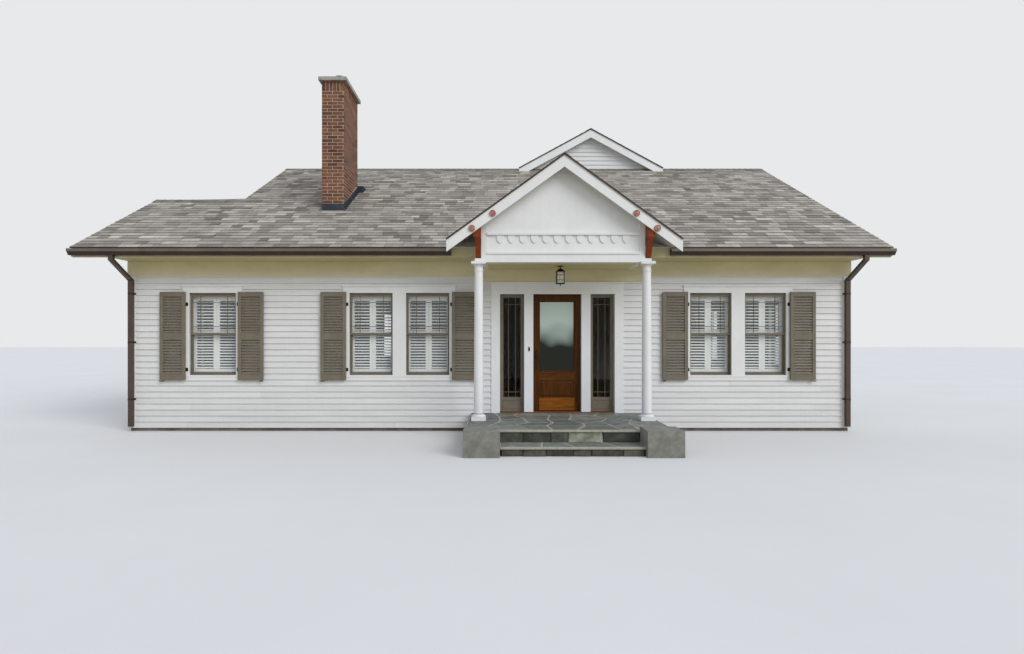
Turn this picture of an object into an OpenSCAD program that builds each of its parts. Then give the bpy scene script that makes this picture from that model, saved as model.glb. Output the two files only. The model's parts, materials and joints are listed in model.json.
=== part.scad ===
// Single-storey timber bungalow with a gabled entrance porch, louvred shutters and a brick chimney.
// Built in house coordinates: x along the front from the wing's outer wall, y inwards from the
// front wall's outer face, z up from the ground. Every sub-part is then moved as one, so that the
// origin is the middle of the building's footprint box, at ground level.

/* [Plan] */
// Length of the main block over its gable walls
main_w = 11105; // [10800:5:12500]
// Depth of the main block over its front and rear walls
main_d = 8400; // [8000:50:9600]
// Length of the left wing beyond the main block
wing_w = 1580; // [1500:10:2200]
// Depth of the left wing
wing_d = 3630; // [3300:10:3900]
// Thickness of the outer walls
wall_t = 160; // [150:5:200]

/* [Bare wall along the front] */
// Bare wall left of the left window's shutters, which with the next four fills the front
left_bare = 565.5; // [540:0.5:620]
// Bare wall between the shutters of the left and middle windows
middle_bare = 1005; // [950:5:1060]
// Bare wall between the middle window's shutter and the entrance
entry_bare = 242.5; // [230:0.5:300]
// Bare wall between the entrance and the right window's shutter
right_bare = 676.5; // [620:0.5:740]
// Bare wall between the right window's shutter and the right corner
end_bare = 620.5; // [560:0.5:700]

/* [Levels] */
// Height of the foundation above the ground
foundation_h = 60; // [40:5:120]
// Width of the foundation ring under the walls
foundation_w = 300; // [260:10:400]
// Height of the porch landing and of the floor behind it
floor_z = 320; // [280:5:360]
// Height of the roof surface at its front and rear edges
eave_z = 3153; // [3120:1:3250]
// Height of the opening between the wing and the main room
wing_opening_h = 2120; // [2000:10:2300]

/* [Main roof] */
// Rise of the roof for each unit of run
roof_pitch = 0.57; // [0.5:0.01:0.65]
// Reach of the roof covering beyond the front and rear walls
roof_reach = 560; // [520:5:620]
// Upright thickness of the roof with its rafters
roof_t = 150; // [120:5:180]
// Upright thickness of the roof covering at the eaves
cover_t = 14; // [8:1:25]
// Overhang of the main roof past its gable walls
rake_reach = 400; // [300:5:450]
// Overhang of the wing's roof past its end wall
wing_rake_reach = 640; // [500:10:700]
// Thickness of the fascia, rake and soffit boards
board_t = 25; // [18:1:30]
// Height of the rake boards
rake_h = 175; // [165:5:220]
// Height of the fascia boards
fascia_h = 150; // [140:5:180]

/* [Rainwater] */
// Depth of a gutter from front to back
gutter_d = 110; // [90:5:130]
// Height of a gutter
gutter_h = 102; // [85:1:120]
// Sheet thickness of the gutters
gutter_sheet = 3; // [2:0.5:5]
// Width of a downspout
spout_w = 76; // [60:1:90]
// Depth of a downspout
spout_d = 60; // [50:1:80]
// Distance from a front corner to the middle of its downspout
spout_inset = 60; // [50:5:120]
// Distance of the gutters' rims below the underside of the roof covering
gutter_drop = 20; // [15:1:30]
// Length of each front gutter's end that is tucked under the porch roof's eaves
gutter_tuck = 25; // [20:5:80]
// Height of a downspout's foot above the ground
spout_foot = 90; // [60:5:150]

/* [Chimney] */
// Distance of the chimney's middle from the wing's outer wall
chimney_x = 3215; // [2900:5:3500]
// Width of the chimney
chimney_w = 435; // [380:5:600]
// Depth of the chimney
chimney_d = 1050; // [800:10:1300]
// Distance of the chimney's front face behind the front wall
chimney_y = 1260; // [900:10:1400]
// Height of the top of the brickwork
chimney_h = 6740; // [6300:10:7000]
// Thickness of the cap slab
chimney_cap_t = 70; // [40:5:90]
// Overhang of the cap slab
chimney_cap_reach = 60; // [20:5:80]
// Radius of the flue pot
flue_r = 110; // [90:5:130]
// Height of the flue pot
flue_h = 240; // [150:10:300]
// Wall thickness of the flue pot
flue_t = 20; // [12:1:30]
// Height of the flashing above the roof
flashing_h = 120; // [80:5:160]
// Sheet thickness of the flashing
flashing_t = 4; // [3:0.5:8]

/* [Rear attic gable] */
// Distance of the attic gable's middle right of the porch's centre line
attic_shift = 1240; // [900:10:1600]
// Half width of the attic gable over its side walls
attic_half = 1600; // [1400:10:1650]
// Depth of the attic gable from the main ridge to its rear wall
attic_d = 2800; // [2400:10:3000]
// Height of the attic ridge above the main ridge
attic_rise = 954; // [914:5:1034]
// Rise of the attic roof for each unit of run
attic_pitch = 0.543; // [0.5:0.001:0.56]
// Overhang of the attic roof
attic_reach = 180; // [120:5:250]
// Upright thickness of the attic roof
attic_roof_t = 110; // [90:5:130]
// Height of the attic's rake boards
attic_rake_h = 200; // [150:5:220]

/* [Porch] */
// Distance of the column centres in front of the wall
column_y = 870; // [800:5:950]
// Distance between the two column centres
column_gap = 2705; // [2700:5:2900]
// Radius of a column at its foot
column_foot_r = 78; // [65:1:90]
// Radius of a column under its capital
column_neck_r = 68; // [55:1:75]
// Width of a column's square abacus
abacus_w = 230; // [210:5:280]
// Rise of the abacus's top above the underside of the beam
abacus_rise = 16; // [5:1:30]
// Height of the underside of the porch beam
beam_z = 2850; // [2800:5:2900]
// Height of the porch beam
beam_h = 130; // [100:5:170]
// Depth of the front beam
beam_d = 160; // [140:5:200]
// Width of the porch over its beams
porch_w = 2620; // [2580:5:2640]
// Thickness of the porch side walls and beams
porch_side_t = 100; // [80:5:120]
// Height of the porch ridge
porch_apex_z = 4530; // [4450:10:4600]
// Rise of the porch roof for each unit of run
porch_pitch = 0.72; // [0.68:0.01:0.75]
// Height of the porch roof's underside at its eaves above the rims of the front gutters
porch_eave_gap = 9; // [3:1:25]
// Distance of the front of the rake boards in front of the wall
porch_reach = 1140; // [1100:5:1250]
// Upright thickness of the porch roof
porch_roof_t = 70; // [50:5:75]
// Reach of the roof covering past the rake boards
porch_lip = 15; // [5:1:30]
// Height of the porch rake boards
porch_rake_h = 193; // [150:1:220]
// Distance from the centre line to the lower rosettes on the rake boards
lower_rosette_x = 1450; // [1400:10:1500]
// Distance from one rosette to the next, along the front
rosette_gap = 325; // [280:5:400]
// Radius of the rosettes
rosette_r = 50; // [40:1:55]
// Thickness of the rosettes
rosette_t = 18; // [10:1:25]
// Distance of the rosettes' centres below the roof surface
rosette_drop = 132; // [95:1:140]
// Width of the timber brackets
bracket_w = 80; // [60:5:90]
// Distance of the brackets from the sides of the porch
bracket_set = 10; // [5:5:30]
// Width of the purlins over the brackets
purlin_w = 120; // [120:5:140]
// Height of the purlins at their outer sides
purlin_h = 205; // [150:5:240]
// Thickness of the porch ceiling
ceiling_t = 20; // [12:1:30]

/* [Porch frieze] */
// Height of the line that the scallops hang from
scallop_top_z = 3285; // [3260:5:3320]
// Drop of the scallops
scallop_drop = 128; // [95:1:140]
// Width of a scallop
scallop_w = 112; // [70:2:120]
// Distance from one scallop to the next
scallop_pitch = 183; // [150:1:220]
// Thickness of the scalloped board
scallop_t = 18; // [12:1:25]
// Height of the mouldings on the frieze
moulding_h = 36; // [20:1:45]
// Stand of the mouldings in front of the gable wall
moulding_reach = 36; // [30:1:50]
// Width of the corner boards on the porch gable
porch_corner_w = 90; // [60:5:110]

/* [Landing] */
// Width of the stone landing
landing_w = 3040; // [3010:10:3400]
// Reach of the landing in front of the wall
landing_d = 1830; // [1600:10:1900]
// Depth of the lower step between the pedestals
step_d = 350; // [300:10:500]
// Height of the lower step
step_h = 140; // [120:5:180]
// Width of the pedestals in front of the landing's corners
pedestal_w = 510; // [400:10:540]
// Reach of the pedestals in front of the wall
pedestal_reach = 2260; // [2200:10:2400]
// Height of the pedestals
pedestal_h = 365; // [300:5:450]

/* [Entrance] */
// Width of the door leaf
door_w = 836; // [800:1:860]
// Running gap round the door leaf
door_gap = 6; // [5:0.5:8]
// Thickness of the door leaf
door_t = 45; // [40:1:55]
// Height of the door opening above the landing, with its threshold
door_h = 2095; // [2050:5:2110]
// Height of the threshold
threshold_h = 20; // [15:1:30]
// Width of the posts beside the door
post_w = 160; // [140:5:180]
// Width of a sidelight
sidelight_w = 426; // [380:2:450]
// Width of the outer casings round the entrance
entry_casing_w = 155; // [120:5:170]
// Height of the head casing over the entrance
entry_head_h = 160; // [120:5:180]
// Stand of casings and corner boards in front of the walls
casing_t = 25; // [18:1:27]
// Depth from the wall's outer face to the back of the door frame
door_back = 132; // [125:1:145]
// Thickness of the head jamb
jamb_t = 25; // [20:1:40]
// Width of the door's stiles
door_stile = 102; // [90:1:120]
// Height of the underside of the door's glass above the leaf's foot
door_glass_z = 700; // [650:5:760]
// Width of the door's top rail
door_top_rail = 112; // [95:1:130]
// Height of the door's lower panel
door_panel_h = 300; // [250:5:360]
// Height of the door's bottom rail
door_bottom_rail = 240; // [200:5:260]
// Distance of the outer hinges from the ends of the door leaf
door_hinge_inset = 180; // [140:10:260]
// Height of the door handle's foot above the leaf's foot
handle_z = 760; // [700:5:800]
// Length of the door handle's grip
grip_h = 210; // [160:5:260]
// Height of the bolt's middle above the leaf's foot
bolt_z = 1060; // [1040:5:1120]
// Thickness of the glass
glass_t = 6; // [4:1:10]
// Width of a sidelight's stiles
sidelight_stile = 52; // [40:1:70]
// Height of the solid lower part of a sidelight
sidelight_base_h = 240; // [200:5:300]

/* [Windows] */
// Height of the windows' sills
sill_z = 987; // [940:1:1010]
// Height of the windows' heads
head_z = 2434; // [2400:1:2440]
// Width of the left window
left_window_w = 825; // [780:5:840]
// Width of each window of the middle pair
middle_window_w = 763; // [740:1:780]
// Width of each window of the right pair
right_window_w = 730; // [700:5:760]
// Width of the pier between the windows of a pair
mullion_w = 235; // [200:5:260]
// Width of a window at the sides and rear
plain_window_w = 760; // [700:5:820]
// Width of the window casings
casing_w = 110; // [100:1:115]
// Height of the board under a window
sill_board_h = 97; // [80:1:110]
// Stand of a sill's nose in front of the casings
sill_nose = 6; // [3:1:7]
// Width of a window frame's members
frame_w = 30; // [20:1:40]
// Width of a sash's stiles and rails
sash_w = 44; // [36:1:52]
// Thickness of a sash
sash_t = 30; // [24:1:36]
// Depth of the window frames behind the wall's outer face
frame_y = 18; // [10:1:30]
// Thickness of the plantation shutters inside the front windows
inner_shutter_t = 28; // [22:1:32]
// Width of the plantation shutters' stiles
inner_stile = 46; // [36:1:60]
// Height of the plantation shutters' top and bottom rails
inner_rail = 60; // [50:5:90]
// Distance of the plantation shutters in front of the walls' inner faces
inner_set = 10; // [5:1:15]

/* [Louvred shutters] */
// Width of a shutter
shutter_w = 420; // [380:5:430]
// Height of the underside of the shutters
shutter_z = 905; // [900:1:930]
// Height of a shutter
shutter_h = 1545; // [1500:5:1560]
// Thickness of a shutter
shutter_t = 35; // [30:1:40]
// Width of a shutter's stiles
shutter_stile = 62; // [50:1:75]
// Height of a shutter's top and bottom rails
shutter_rail = 78; // [60:1:100]
// Height of a shutter's middle rail
shutter_mid_rail = 88; // [70:1:110]
// Distance of the middle rail's centre below the shutter's top
shutter_mid_drop = 735; // [700:5:780]
// Distance from one louvre to the next
louvre_pitch = 58; // [50:1:70]
// Depth of a louvre's slat
louvre_w = 46; // [40:1:52]
// Thickness of a louvre's slat
louvre_t = 7; // [6:0.5:9]
// Slope of the louvres in degrees
louvre_slope = 52; // [45:1:58]
// Distance from the window to a shutter's pin
hinge_inset = 60; // [55:1:70]
// Gap between a shutter's back and the casings
shutter_gap = 12; // [10:1:20]
// Gap between a shutter's edge and its pin's centre
pin_gap = 14; // [14:1:18]
// Radius of a hinge pin
pin_r = 6; // [5:0.5:7]
// Radial running clearance of a hinge pin
pin_fit = 0.3; // [0.2:0.05:0.4]
// Outer radius of a hinge knuckle
knuckle_r = 11; // [10:0.5:12]
// Height of a hinge knuckle
knuckle_h = 56; // [45:1:70]
// Distance of the hinges from a shutter's ends
hinge_drop = 170; // [150:5:250]

/* [Lantern] */
// Distance of the lantern in front of the wall
lantern_y = 500; // [400:10:600]
// Width of the lantern's glass body
lantern_w = 130; // [110:5:160]
// Height of the lantern's glass body
lantern_h = 190; // [160:5:230]
// Length of the lantern's stem under the ceiling
lantern_stem = 50; // [30:5:70]
// Height of the lantern's cap
lantern_cap_h = 50; // [40:5:80]
// Width of the lantern's corner bars
lantern_bar = 10; // [6:1:14]

/* [Hidden] */
$fn = 48;

// Overlap of a cutting solid past the face that it cuts
cut = 1;

// Ends of the main block along the front
main_x0 = wing_w;
main_x1 = wing_w + main_w;
// Run from a wall's outer face to the ridge above it
main_half = main_d / 2;
wing_half = wing_d / 2;
// Height of the main roof's surface above the outer face of the front wall
roof_wall_z = eave_z + roof_pitch * roof_reach;
// Height of the main ridge
ridge_z = roof_wall_z + roof_pitch * main_half;
// Reach of the fascia's outer face and of the gutters, which lie partly under the roof covering
gutter_cover_share = 0.3;
fascia_reach = roof_reach - gutter_d * gutter_cover_share;
gutter_reach = fascia_reach + gutter_d;
// Height of the gutters' rims
gutter_z = eave_z - cover_t - gutter_drop;
// Points of a gutter's moulded front, as shares of its depth and height from its foot
gutter_profile = [[0.36, 0], [0.22, 0.32], [0.1, 0.5], [0, 0.72]];
// Height of the soffit's underside
soffit_z = eave_z - cover_t - fascia_h;
// Footprint box of the building, and the move that centres it
step_front = max(landing_d + step_d, pedestal_reach);
center_x = (main_x1 + rake_reach - wing_rake_reach) / 2;
center_y = (main_d + gutter_reach - step_front) / 2;
// Front and back faces of the porch's front beam, and the gable wall's front face
gable_set = 20;
beam_front = column_y + beam_d / 2;
beam_back = column_y - beam_d / 2;
gable_front = beam_front - gable_set;
// Half width of the porch roof in whole millimetres, whose eaves clear the gutters
porch_roof_half = round((porch_apex_z - porch_roof_t - gutter_z - porch_eave_gap) / porch_pitch);
// Doorway and entrance, measured from the centre line
leaf_half = door_w / 2;
post_in = leaf_half + door_gap;
post_out = post_in + post_w;
entry_half = post_out + sidelight_w;
entry_head_z = floor_z + door_h + jamb_t;
leaf_z = floor_z + threshold_h + door_gap;
leaf_h = floor_z + door_h - door_gap - leaf_z;
leaf_y = door_back - door_t;
// Butt hinges of the door: the pin's place, and half a hinge's size
butt_r = 8;
butt_set = butt_r + 1;
butt_h = 45;
butt_pin_r = 4;
hinge_x = leaf_half + door_gap / 2;
hinge_y = door_back + butt_set;
butt_leaf_w = 38;
butt_leaf_t = 3;
// Undersides of the door's three hinges
hinge_steps = [leaf_z + door_hinge_inset, leaf_z + leaf_h / 2 - butt_h,
    leaf_z + leaf_h - door_hinge_inset - 2 * butt_h];
// Shutters' pins, measured in front of the wall
pin_y = casing_t + shutter_gap + shutter_t / 2;
// Undersides of the two hinge knuckles of a shutter
hinge_levels = [shutter_z + hinge_drop, shutter_z + shutter_h - hinge_drop - knuckle_h];
// Half lengths of the front's openings with their shutters or casings
shutter_span = hinge_inset + pin_gap + shutter_w;
left_span = left_window_w / 2 + shutter_span;
middle_span = middle_window_w + mullion_w / 2 + shutter_span;
entry_span = entry_half + entry_casing_w;
right_span = right_window_w + mullion_w / 2 + shutter_span;
// Bare wall along the front, shared out between the openings as their bare lengths say
bare_front = main_x1 - 2 * (left_span + middle_span + entry_span + right_span);
bare_scale = bare_front / (left_bare + middle_bare + entry_bare + right_bare + end_bare);
// Middles of the front's openings
left_window_x = left_bare * bare_scale + left_span;
middle_window_x = left_window_x + left_span + middle_bare * bare_scale + middle_span;
entry_x = middle_window_x + middle_span + entry_bare * bare_scale + entry_span;
right_window_x = entry_x + entry_span + right_bare * bare_scale + right_span;
// Middle line and ridge of the attic gable, and the outer face of its rear wall
attic_x = entry_x + attic_shift;
attic_apex_z = ridge_z + attic_rise;
attic_y = main_half + attic_d;
// Distance of the attic window's sill above the main roof
attic_sill_rise = 260;
// Underside of the lantern's glass body
lantern_z = beam_z - lantern_stem - lantern_cap_h - lantern_h;
// Block on a porch column that carries its bracket
block_h = 62;
block_inset = 55;

// Height of the main roof's surface, a run u in from the wall
function roof_z(u) = roof_wall_z + roof_pitch * u;
// Height of the roof's underside there
function under_z(u) = roof_z(u) - roof_t;
// Height of the porch roof's surface, a distance x from its centre line
function porch_z(x) = porch_apex_z - porch_pitch * abs(x);
// Height of the attic roof's surface, a distance x from its centre line
function attic_z(x) = attic_apex_z - attic_pitch * abs(x);

// A window group is its place, the turn of its wall, one window's width, their number and levels
function group(x, y, turn, w, n, sill, head) = [x, y, turn, w, n, sill, head];
function group_half(g) = (g[4] * g[3] + (g[4] - 1) * mullion_w) / 2;
function offsets(g) = [for (i = [0 : g[4] - 1]) (i - (g[4] - 1) / 2) * (g[3] + mullion_w)];
left_window = group(left_window_x, 0, 0, left_window_w, 1, sill_z, head_z);
middle_window = group(middle_window_x, 0, 0, middle_window_w, 2, sill_z, head_z);
right_window = group(right_window_x, 0, 0, right_window_w, 2, sill_z, head_z);
front_windows = [left_window, middle_window, right_window];
// Places of the windows along the right wall and the rear wall, as shares of their lengths
right_shares = [0.27, 0.72];
rear_shares = [0.14, 0.38, 0.84];
right_windows = [for (share = right_shares)
    group(main_x1, main_d * share, 90, plain_window_w, 1, sill_z, head_z)];
rear_windows = [for (share = rear_shares)
    group(main_x0 + main_w * share, main_d, 180, plain_window_w, 1, sill_z, head_z)];
left_windows = [group(main_x0, (wing_d + main_d) / 2, -90, plain_window_w, 1, sill_z, head_z)];
wing_windows = [group(0, wing_half, -90, plain_window_w, 1, sill_z, head_z)];
attic_sill_z = roof_z(main_d - attic_y) + attic_sill_rise;
attic_windows = [group(attic_x, attic_y, 180, plain_window_w, 1, attic_sill_z,
    attic_z(attic_half) - attic_roof_t)];
all_windows = concat(front_windows, right_windows, rear_windows, left_windows, wing_windows,
    attic_windows);

wall_white = "whitesmoke";
trim_white = "white";
taupe = [0.46, 0.43, 0.37];
roof_grey = [0.50, 0.48, 0.46];
dark_brown = [0.20, 0.15, 0.12];
stained = [0.45, 0.22, 0.11];
stone_grey = [0.35, 0.37, 0.40];

// Moves house coordinates to the middle of the footprint box
module place() translate([-center_x, -center_y, 0]) children();
// Moves porch coordinates, x from the centre line, to the middle of the footprint box
module place_entry() place() translate([entry_x, 0, 0]) children();
// Carries a y-z outline along x
module along_x(x0, x1) translate([x0, 0, 0]) rotate([90, 0, 90]) linear_extrude(x1 - x0) children();
// Carries an x-z outline along y
module along_y(y0, y1) translate([0, y1, 0]) rotate([90, 0, 0]) linear_extrude(y1 - y0) children();
// Turns what is drawn for the front wall to the rear of a block of depth d
module rear(d) translate([0, d, 0]) mirror([0, 1, 0]) children();
// A box between two corners
module block(a, b) translate(a) cube(b - a);
// Both sides of a centre line
module both_sides() { children(); mirror([1, 0, 0]) children(); }

module window_holes(groups, depth) {
    for (g = groups) translate([g[0], g[1], 0]) rotate(g[2]) for (x = offsets(g))
        block([x - g[3] / 2, -cut, g[5]], [x + g[3] / 2, depth + cut, g[6]]);
}

// The foundation stands a little back from the walls' outer faces
module foundation() {
    inset = 15;
    color("dimgray") place() linear_extrude(foundation_h) difference() {
        union() {
            translate([main_x0 + inset, inset]) square([main_w - 2 * inset, main_d - 2 * inset]);
            translate([inset, inset]) square([wing_w, wing_d - 2 * inset]);
        }
        translate([main_x0 + foundation_w, foundation_w])
            square([main_w - 2 * foundation_w, main_d - 2 * foundation_w]);
        translate([foundation_w, foundation_w]) square([wing_w, wing_d - 2 * foundation_w]);
    }
}

module floor() {
    color("burlywood") place() difference() {
        union() {
            block([main_x0 + wall_t, wall_t, foundation_h],
                [main_x1 - wall_t, main_d - wall_t, floor_z]);
            block([wall_t, wall_t, foundation_h], [main_x0 + wall_t, wing_d - wall_t, floor_z]);
            block([entry_x - entry_half, 0, foundation_h], [entry_x + entry_half, wall_t, floor_z]);
        }
        chimney_shaft(-cut, chimney_h);
    }
}

// Outline of the front wall under the sloping roof
module front_wall_outline(z0) {
    polygon([[0, z0], [wall_t, z0], [wall_t, under_z(wall_t)], [0, under_z(0)]]);
}

// Outline of a gable wall for a block of depth d, between its front and rear walls
module gable_outline(d, y0, z0) {
    polygon([[y0, z0], [d - wall_t, z0], [d - wall_t, under_z(wall_t)], [d / 2, under_z(d / 2)],
        [y0, under_z(y0)]]);
}

module front_wall_left() {
    color(wall_white) place() difference() {
        along_x(0, entry_x - entry_half) front_wall_outline(foundation_h);
        window_holes([left_window, middle_window], wall_t);
    }
}

module front_wall_right() {
    color(wall_white) place() difference() {
        along_x(entry_x + entry_half, main_x1) front_wall_outline(foundation_h);
        window_holes([right_window], wall_t);
    }
}

module front_wall_over_door() {
    color(wall_white) place()
        along_x(entry_x - entry_half, entry_x + entry_half) front_wall_outline(entry_head_z);
}

module right_gable_wall() {
    color(wall_white) place() difference() {
        along_x(main_x1 - wall_t, main_x1) gable_outline(main_d, wall_t, foundation_h);
        window_holes(right_windows, wall_t);
    }
}

module rear_wall() {
    color(wall_white) place() difference() {
        rear(main_d) along_x(main_x0, main_x1) front_wall_outline(foundation_h);
        window_holes(rear_windows, wall_t);
    }
}

module left_gable_wall() {
    color(wall_white) place() difference() {
        along_x(main_x0, main_x0 + wall_t) gable_outline(main_d, wing_d - wall_t, foundation_h);
        window_holes(left_windows, wall_t);
    }
}

module left_wall_over_wing() {
    inner = wing_d - wall_t;
    head = floor_z + wing_opening_h;
    color(wall_white) place() along_x(main_x0, main_x0 + wall_t)
        polygon([[wall_t, head], [inner, head], [inner, under_z(inner)], [wall_t, under_z(wall_t)]]);
}

module wing_end_wall() {
    color(wall_white) place() difference() {
        along_x(0, wall_t) gable_outline(wing_d, wall_t, foundation_h);
        window_holes(wing_windows, wall_t);
    }
}

module wing_rear_wall() {
    color(wall_white) place() rear(wing_d) along_x(0, main_x0) front_wall_outline(foundation_h);
}

// Points of one roof slope, from the ridge's underside round the covering's edge to the ridge
function slope_points(half, reach = fascia_reach - board_t) = [[half, under_z(half)],
    [-reach, under_z(-reach)], [-reach, roof_z(-reach) - cover_t],
    [-roof_reach, roof_z(-roof_reach) - cover_t], [-roof_reach, roof_z(-roof_reach)],
    [half, roof_z(half)]];

module slope_outline(half) polygon(slope_points(half));

// Outline of both slopes over a block of depth d
module both_slopes_outline(d) {
    front = slope_points(d / 2);
    polygon(concat(front, [for (i = [len(front) - 2 : -1 : 1]) [d - front[i][0], front[i][1]]]));
}

// Everything under the surface of a roof over a block of depth d
module under_roof(x0, x1, d) {
    along_x(x0, x1) polygon([[-roof_reach, 0], [-roof_reach, roof_z(-roof_reach)],
        [d / 2, roof_z(d / 2)], [d + roof_reach, roof_z(-roof_reach)], [d + roof_reach, 0]]);
}

module main_slope() {
    along_x(main_x0 - rake_reach + board_t, main_x1 + rake_reach - board_t)
        slope_outline(main_half);
}

module main_roof_front() {
    color(roof_grey) place() difference() {
        main_slope();
        chimney_shaft(0, chimney_h);
    }
}

module main_roof_rear() {
    color(roof_grey) place() rear(main_d) main_slope();
}

// The wing's rear slope runs on under the main roof's overhang
module wing_roof() {
    color(roof_grey) place() {
        along_x(-wing_rake_reach + board_t, main_x0 - rake_reach + board_t)
            both_slopes_outline(wing_d);
        difference() {
            rear(wing_d) along_x(main_x0 - rake_reach, main_x0) slope_outline(wing_half);
            main_slope();
        }
    }
}

// Outline of a gable roof's cross-section, centred on its ridge and t thick upright
module gable_roof_outline(half, apex, pitch, t) {
    polygon([[0, apex], [half, apex - pitch * half], [half, apex - pitch * half - t],
        [0, apex - t], [-half, apex - pitch * half - t], [-half, apex - pitch * half]]);
}

// Outline of the wall under such a roof, from z0 up
module gable_fill_outline(half, z0, apex, pitch, t) {
    polygon([[-half, z0], [half, z0], [half, apex - pitch * half - t], [0, apex - t],
        [-half, apex - pitch * half - t]]);
}

module attic_gable_walls() {
    inner = attic_half - wall_t;
    color(wall_white) place() difference() {
        translate([attic_x, 0, 0]) along_y(main_half, attic_y)
            gable_fill_outline(attic_half, eave_z, attic_apex_z, attic_pitch, attic_roof_t);
        translate([attic_x, 0, 0]) block([-inner, main_half + wall_t, 0],
            [inner, attic_y - wall_t, attic_apex_z]);
        under_roof(main_x0, main_x1, main_d);
        window_holes(attic_windows, wall_t);
    }
}

// The roof lies between the attic's rake boards, and its covering reaches over them
module attic_gable_roof() {
    half = attic_half + attic_reach;
    front = main_half - attic_reach;
    back = attic_y + attic_reach;
    color(roof_grey) place() difference() {
        translate([attic_x, 0, 0]) {
            along_y(front + board_t, back - board_t)
                gable_roof_outline(half, attic_apex_z, attic_pitch, attic_roof_t);
            along_y(front - porch_lip, back + porch_lip)
                gable_roof_outline(half, attic_apex_z, attic_pitch, cover_t);
        }
        under_roof(main_x0, main_x1, main_d);
    }
}

// Fascia board from x0 to x1, with the soffit behind it from x2 to x3 along the wall
module eave_run(x0, x1, x2, x3) {
    along_x(x0, x1) translate([-fascia_reach, soffit_z]) square([board_t, fascia_h]);
    along_x(x2, x3) translate([-fascia_reach, soffit_z]) square([fascia_reach, board_t]);
}

module eave_boards() {
    side = porch_w / 2;
    wing_end = board_t - wing_rake_reach;
    left_end = main_x0 - rake_reach + board_t;
    right_end = main_x1 + rake_reach - board_t;
    color(trim_white) place() {
        eave_run(wing_end, entry_x - side, 0, entry_x - side);
        eave_run(entry_x + side, right_end, entry_x + side, main_x1);
        rear(main_d) eave_run(left_end, right_end, main_x0, main_x1);
        rear(wing_d) eave_run(wing_end, main_x0, 0, main_x0);
    }
}

// Outline of the pair of rake boards on a gable of depth d
module rake_outline(d) {
    foot = roof_z(-fascia_reach);
    polygon([[-fascia_reach, foot], [d / 2, roof_z(d / 2)], [d + fascia_reach, foot],
        [d + fascia_reach, foot - rake_h], [d / 2, roof_z(d / 2) - rake_h],
        [-fascia_reach, foot - rake_h]]);
}

module rake_boards() {
    color(trim_white) place() {
        along_x(-wing_rake_reach, board_t - wing_rake_reach) rake_outline(wing_d);
        along_x(main_x1 + rake_reach - board_t, main_x1 + rake_reach) rake_outline(main_d);
        difference() {
            along_x(main_x0 - rake_reach, main_x0 - rake_reach + board_t) rake_outline(main_d);
            under_roof(0, main_x0, wing_d);
        }
        difference() {
            for (y = [main_half - attic_reach, attic_y + attic_reach - board_t])
                translate([attic_x, 0, 0]) along_y(y, y + board_t)
                    gable_roof_outline(attic_half + attic_reach, attic_apex_z - cover_t,
                        attic_pitch, attic_rake_h);
            under_roof(main_x0, main_x1, main_d);
        }
    }
}

// Outline of a gutter against the fascia, with its moulded front
module gutter_outline(inset) {
    top = gutter_z + inset;
    back = -fascia_reach - inset;
    front = inset - gutter_reach;
    base = gutter_z - gutter_h + inset;
    polygon(concat([[back, top], [back, base]],
        [for (p = gutter_profile) [front + gutter_d * p[0], base + gutter_h * p[1]]],
        [[front, top]]));
}

module gutter(x0, x1) {
    difference() {
        along_x(x0, x1) gutter_outline(0);
        along_x(x0 + gutter_sheet, x1 - gutter_sheet) gutter_outline(gutter_sheet);
    }
}

module gutters() {
    porch_gap = porch_roof_half - gutter_tuck;
    color(dark_brown) place() {
        gutter(-wing_rake_reach, entry_x - porch_gap);
        gutter(entry_x + porch_gap, main_x1 + rake_reach);
        rear(main_d) gutter(main_x0 - rake_reach, main_x1 + rake_reach);
        rear(wing_d) gutter(-wing_rake_reach, main_x0 - rake_reach);
    }
}

// A downspout under the front gutter, swept back to the corner board
module downspout(x) {
    outlet_share = 0.35;
    bend_share = 1 / 3;
    drop = 60;
    slant = 300;
    y_out = fascia_reach + gutter_d * outlet_share;
    z_out = gutter_z - gutter_h;
    y_wall = casing_t;
    z_bend = z_out - drop - spout_d * bend_share;
    along_x(x - spout_w / 2, x + spout_w / 2)
        polygon([[-y_out - spout_d / 2, z_out], [-y_out + spout_d / 2, z_out],
            [-y_out + spout_d / 2, z_out - drop], [-y_wall, z_out - drop - slant],
            [-y_wall, spout_foot], [-y_wall - spout_d, spout_foot],
            [-y_wall - spout_d, z_bend - slant], [-y_out - spout_d / 2, z_bend]]);
}

module downspouts() {
    color(dark_brown) place() {
        downspout(spout_inset);
        downspout(main_x1 - spout_inset);
        rear(main_d) {
            downspout(main_x0 + spout_inset);
            downspout(main_x1 - spout_inset);
        }
    }
}

module chimney_shaft(z0, z1) {
    block([chimney_x - chimney_w / 2, chimney_y, z0],
        [chimney_x + chimney_w / 2, chimney_y + chimney_d, z1]);
}

module chimney() {
    color("firebrick") place() chimney_shaft(0, chimney_h);
}

module chimney_cap() {
    r = chimney_cap_reach;
    color("lightgray") place() {
        block([chimney_x - chimney_w / 2 - r, chimney_y - r, chimney_h],
            [chimney_x + chimney_w / 2 + r, chimney_y + chimney_d + r, chimney_h + chimney_cap_t]);
        translate([chimney_x, chimney_y + chimney_d / 2, chimney_h + chimney_cap_t])
            difference() {
                cylinder(h = flue_h, r = flue_r);
                translate([0, 0, flue_t]) cylinder(h = flue_h, r = flue_r - flue_t);
            }
    }
}

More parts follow.
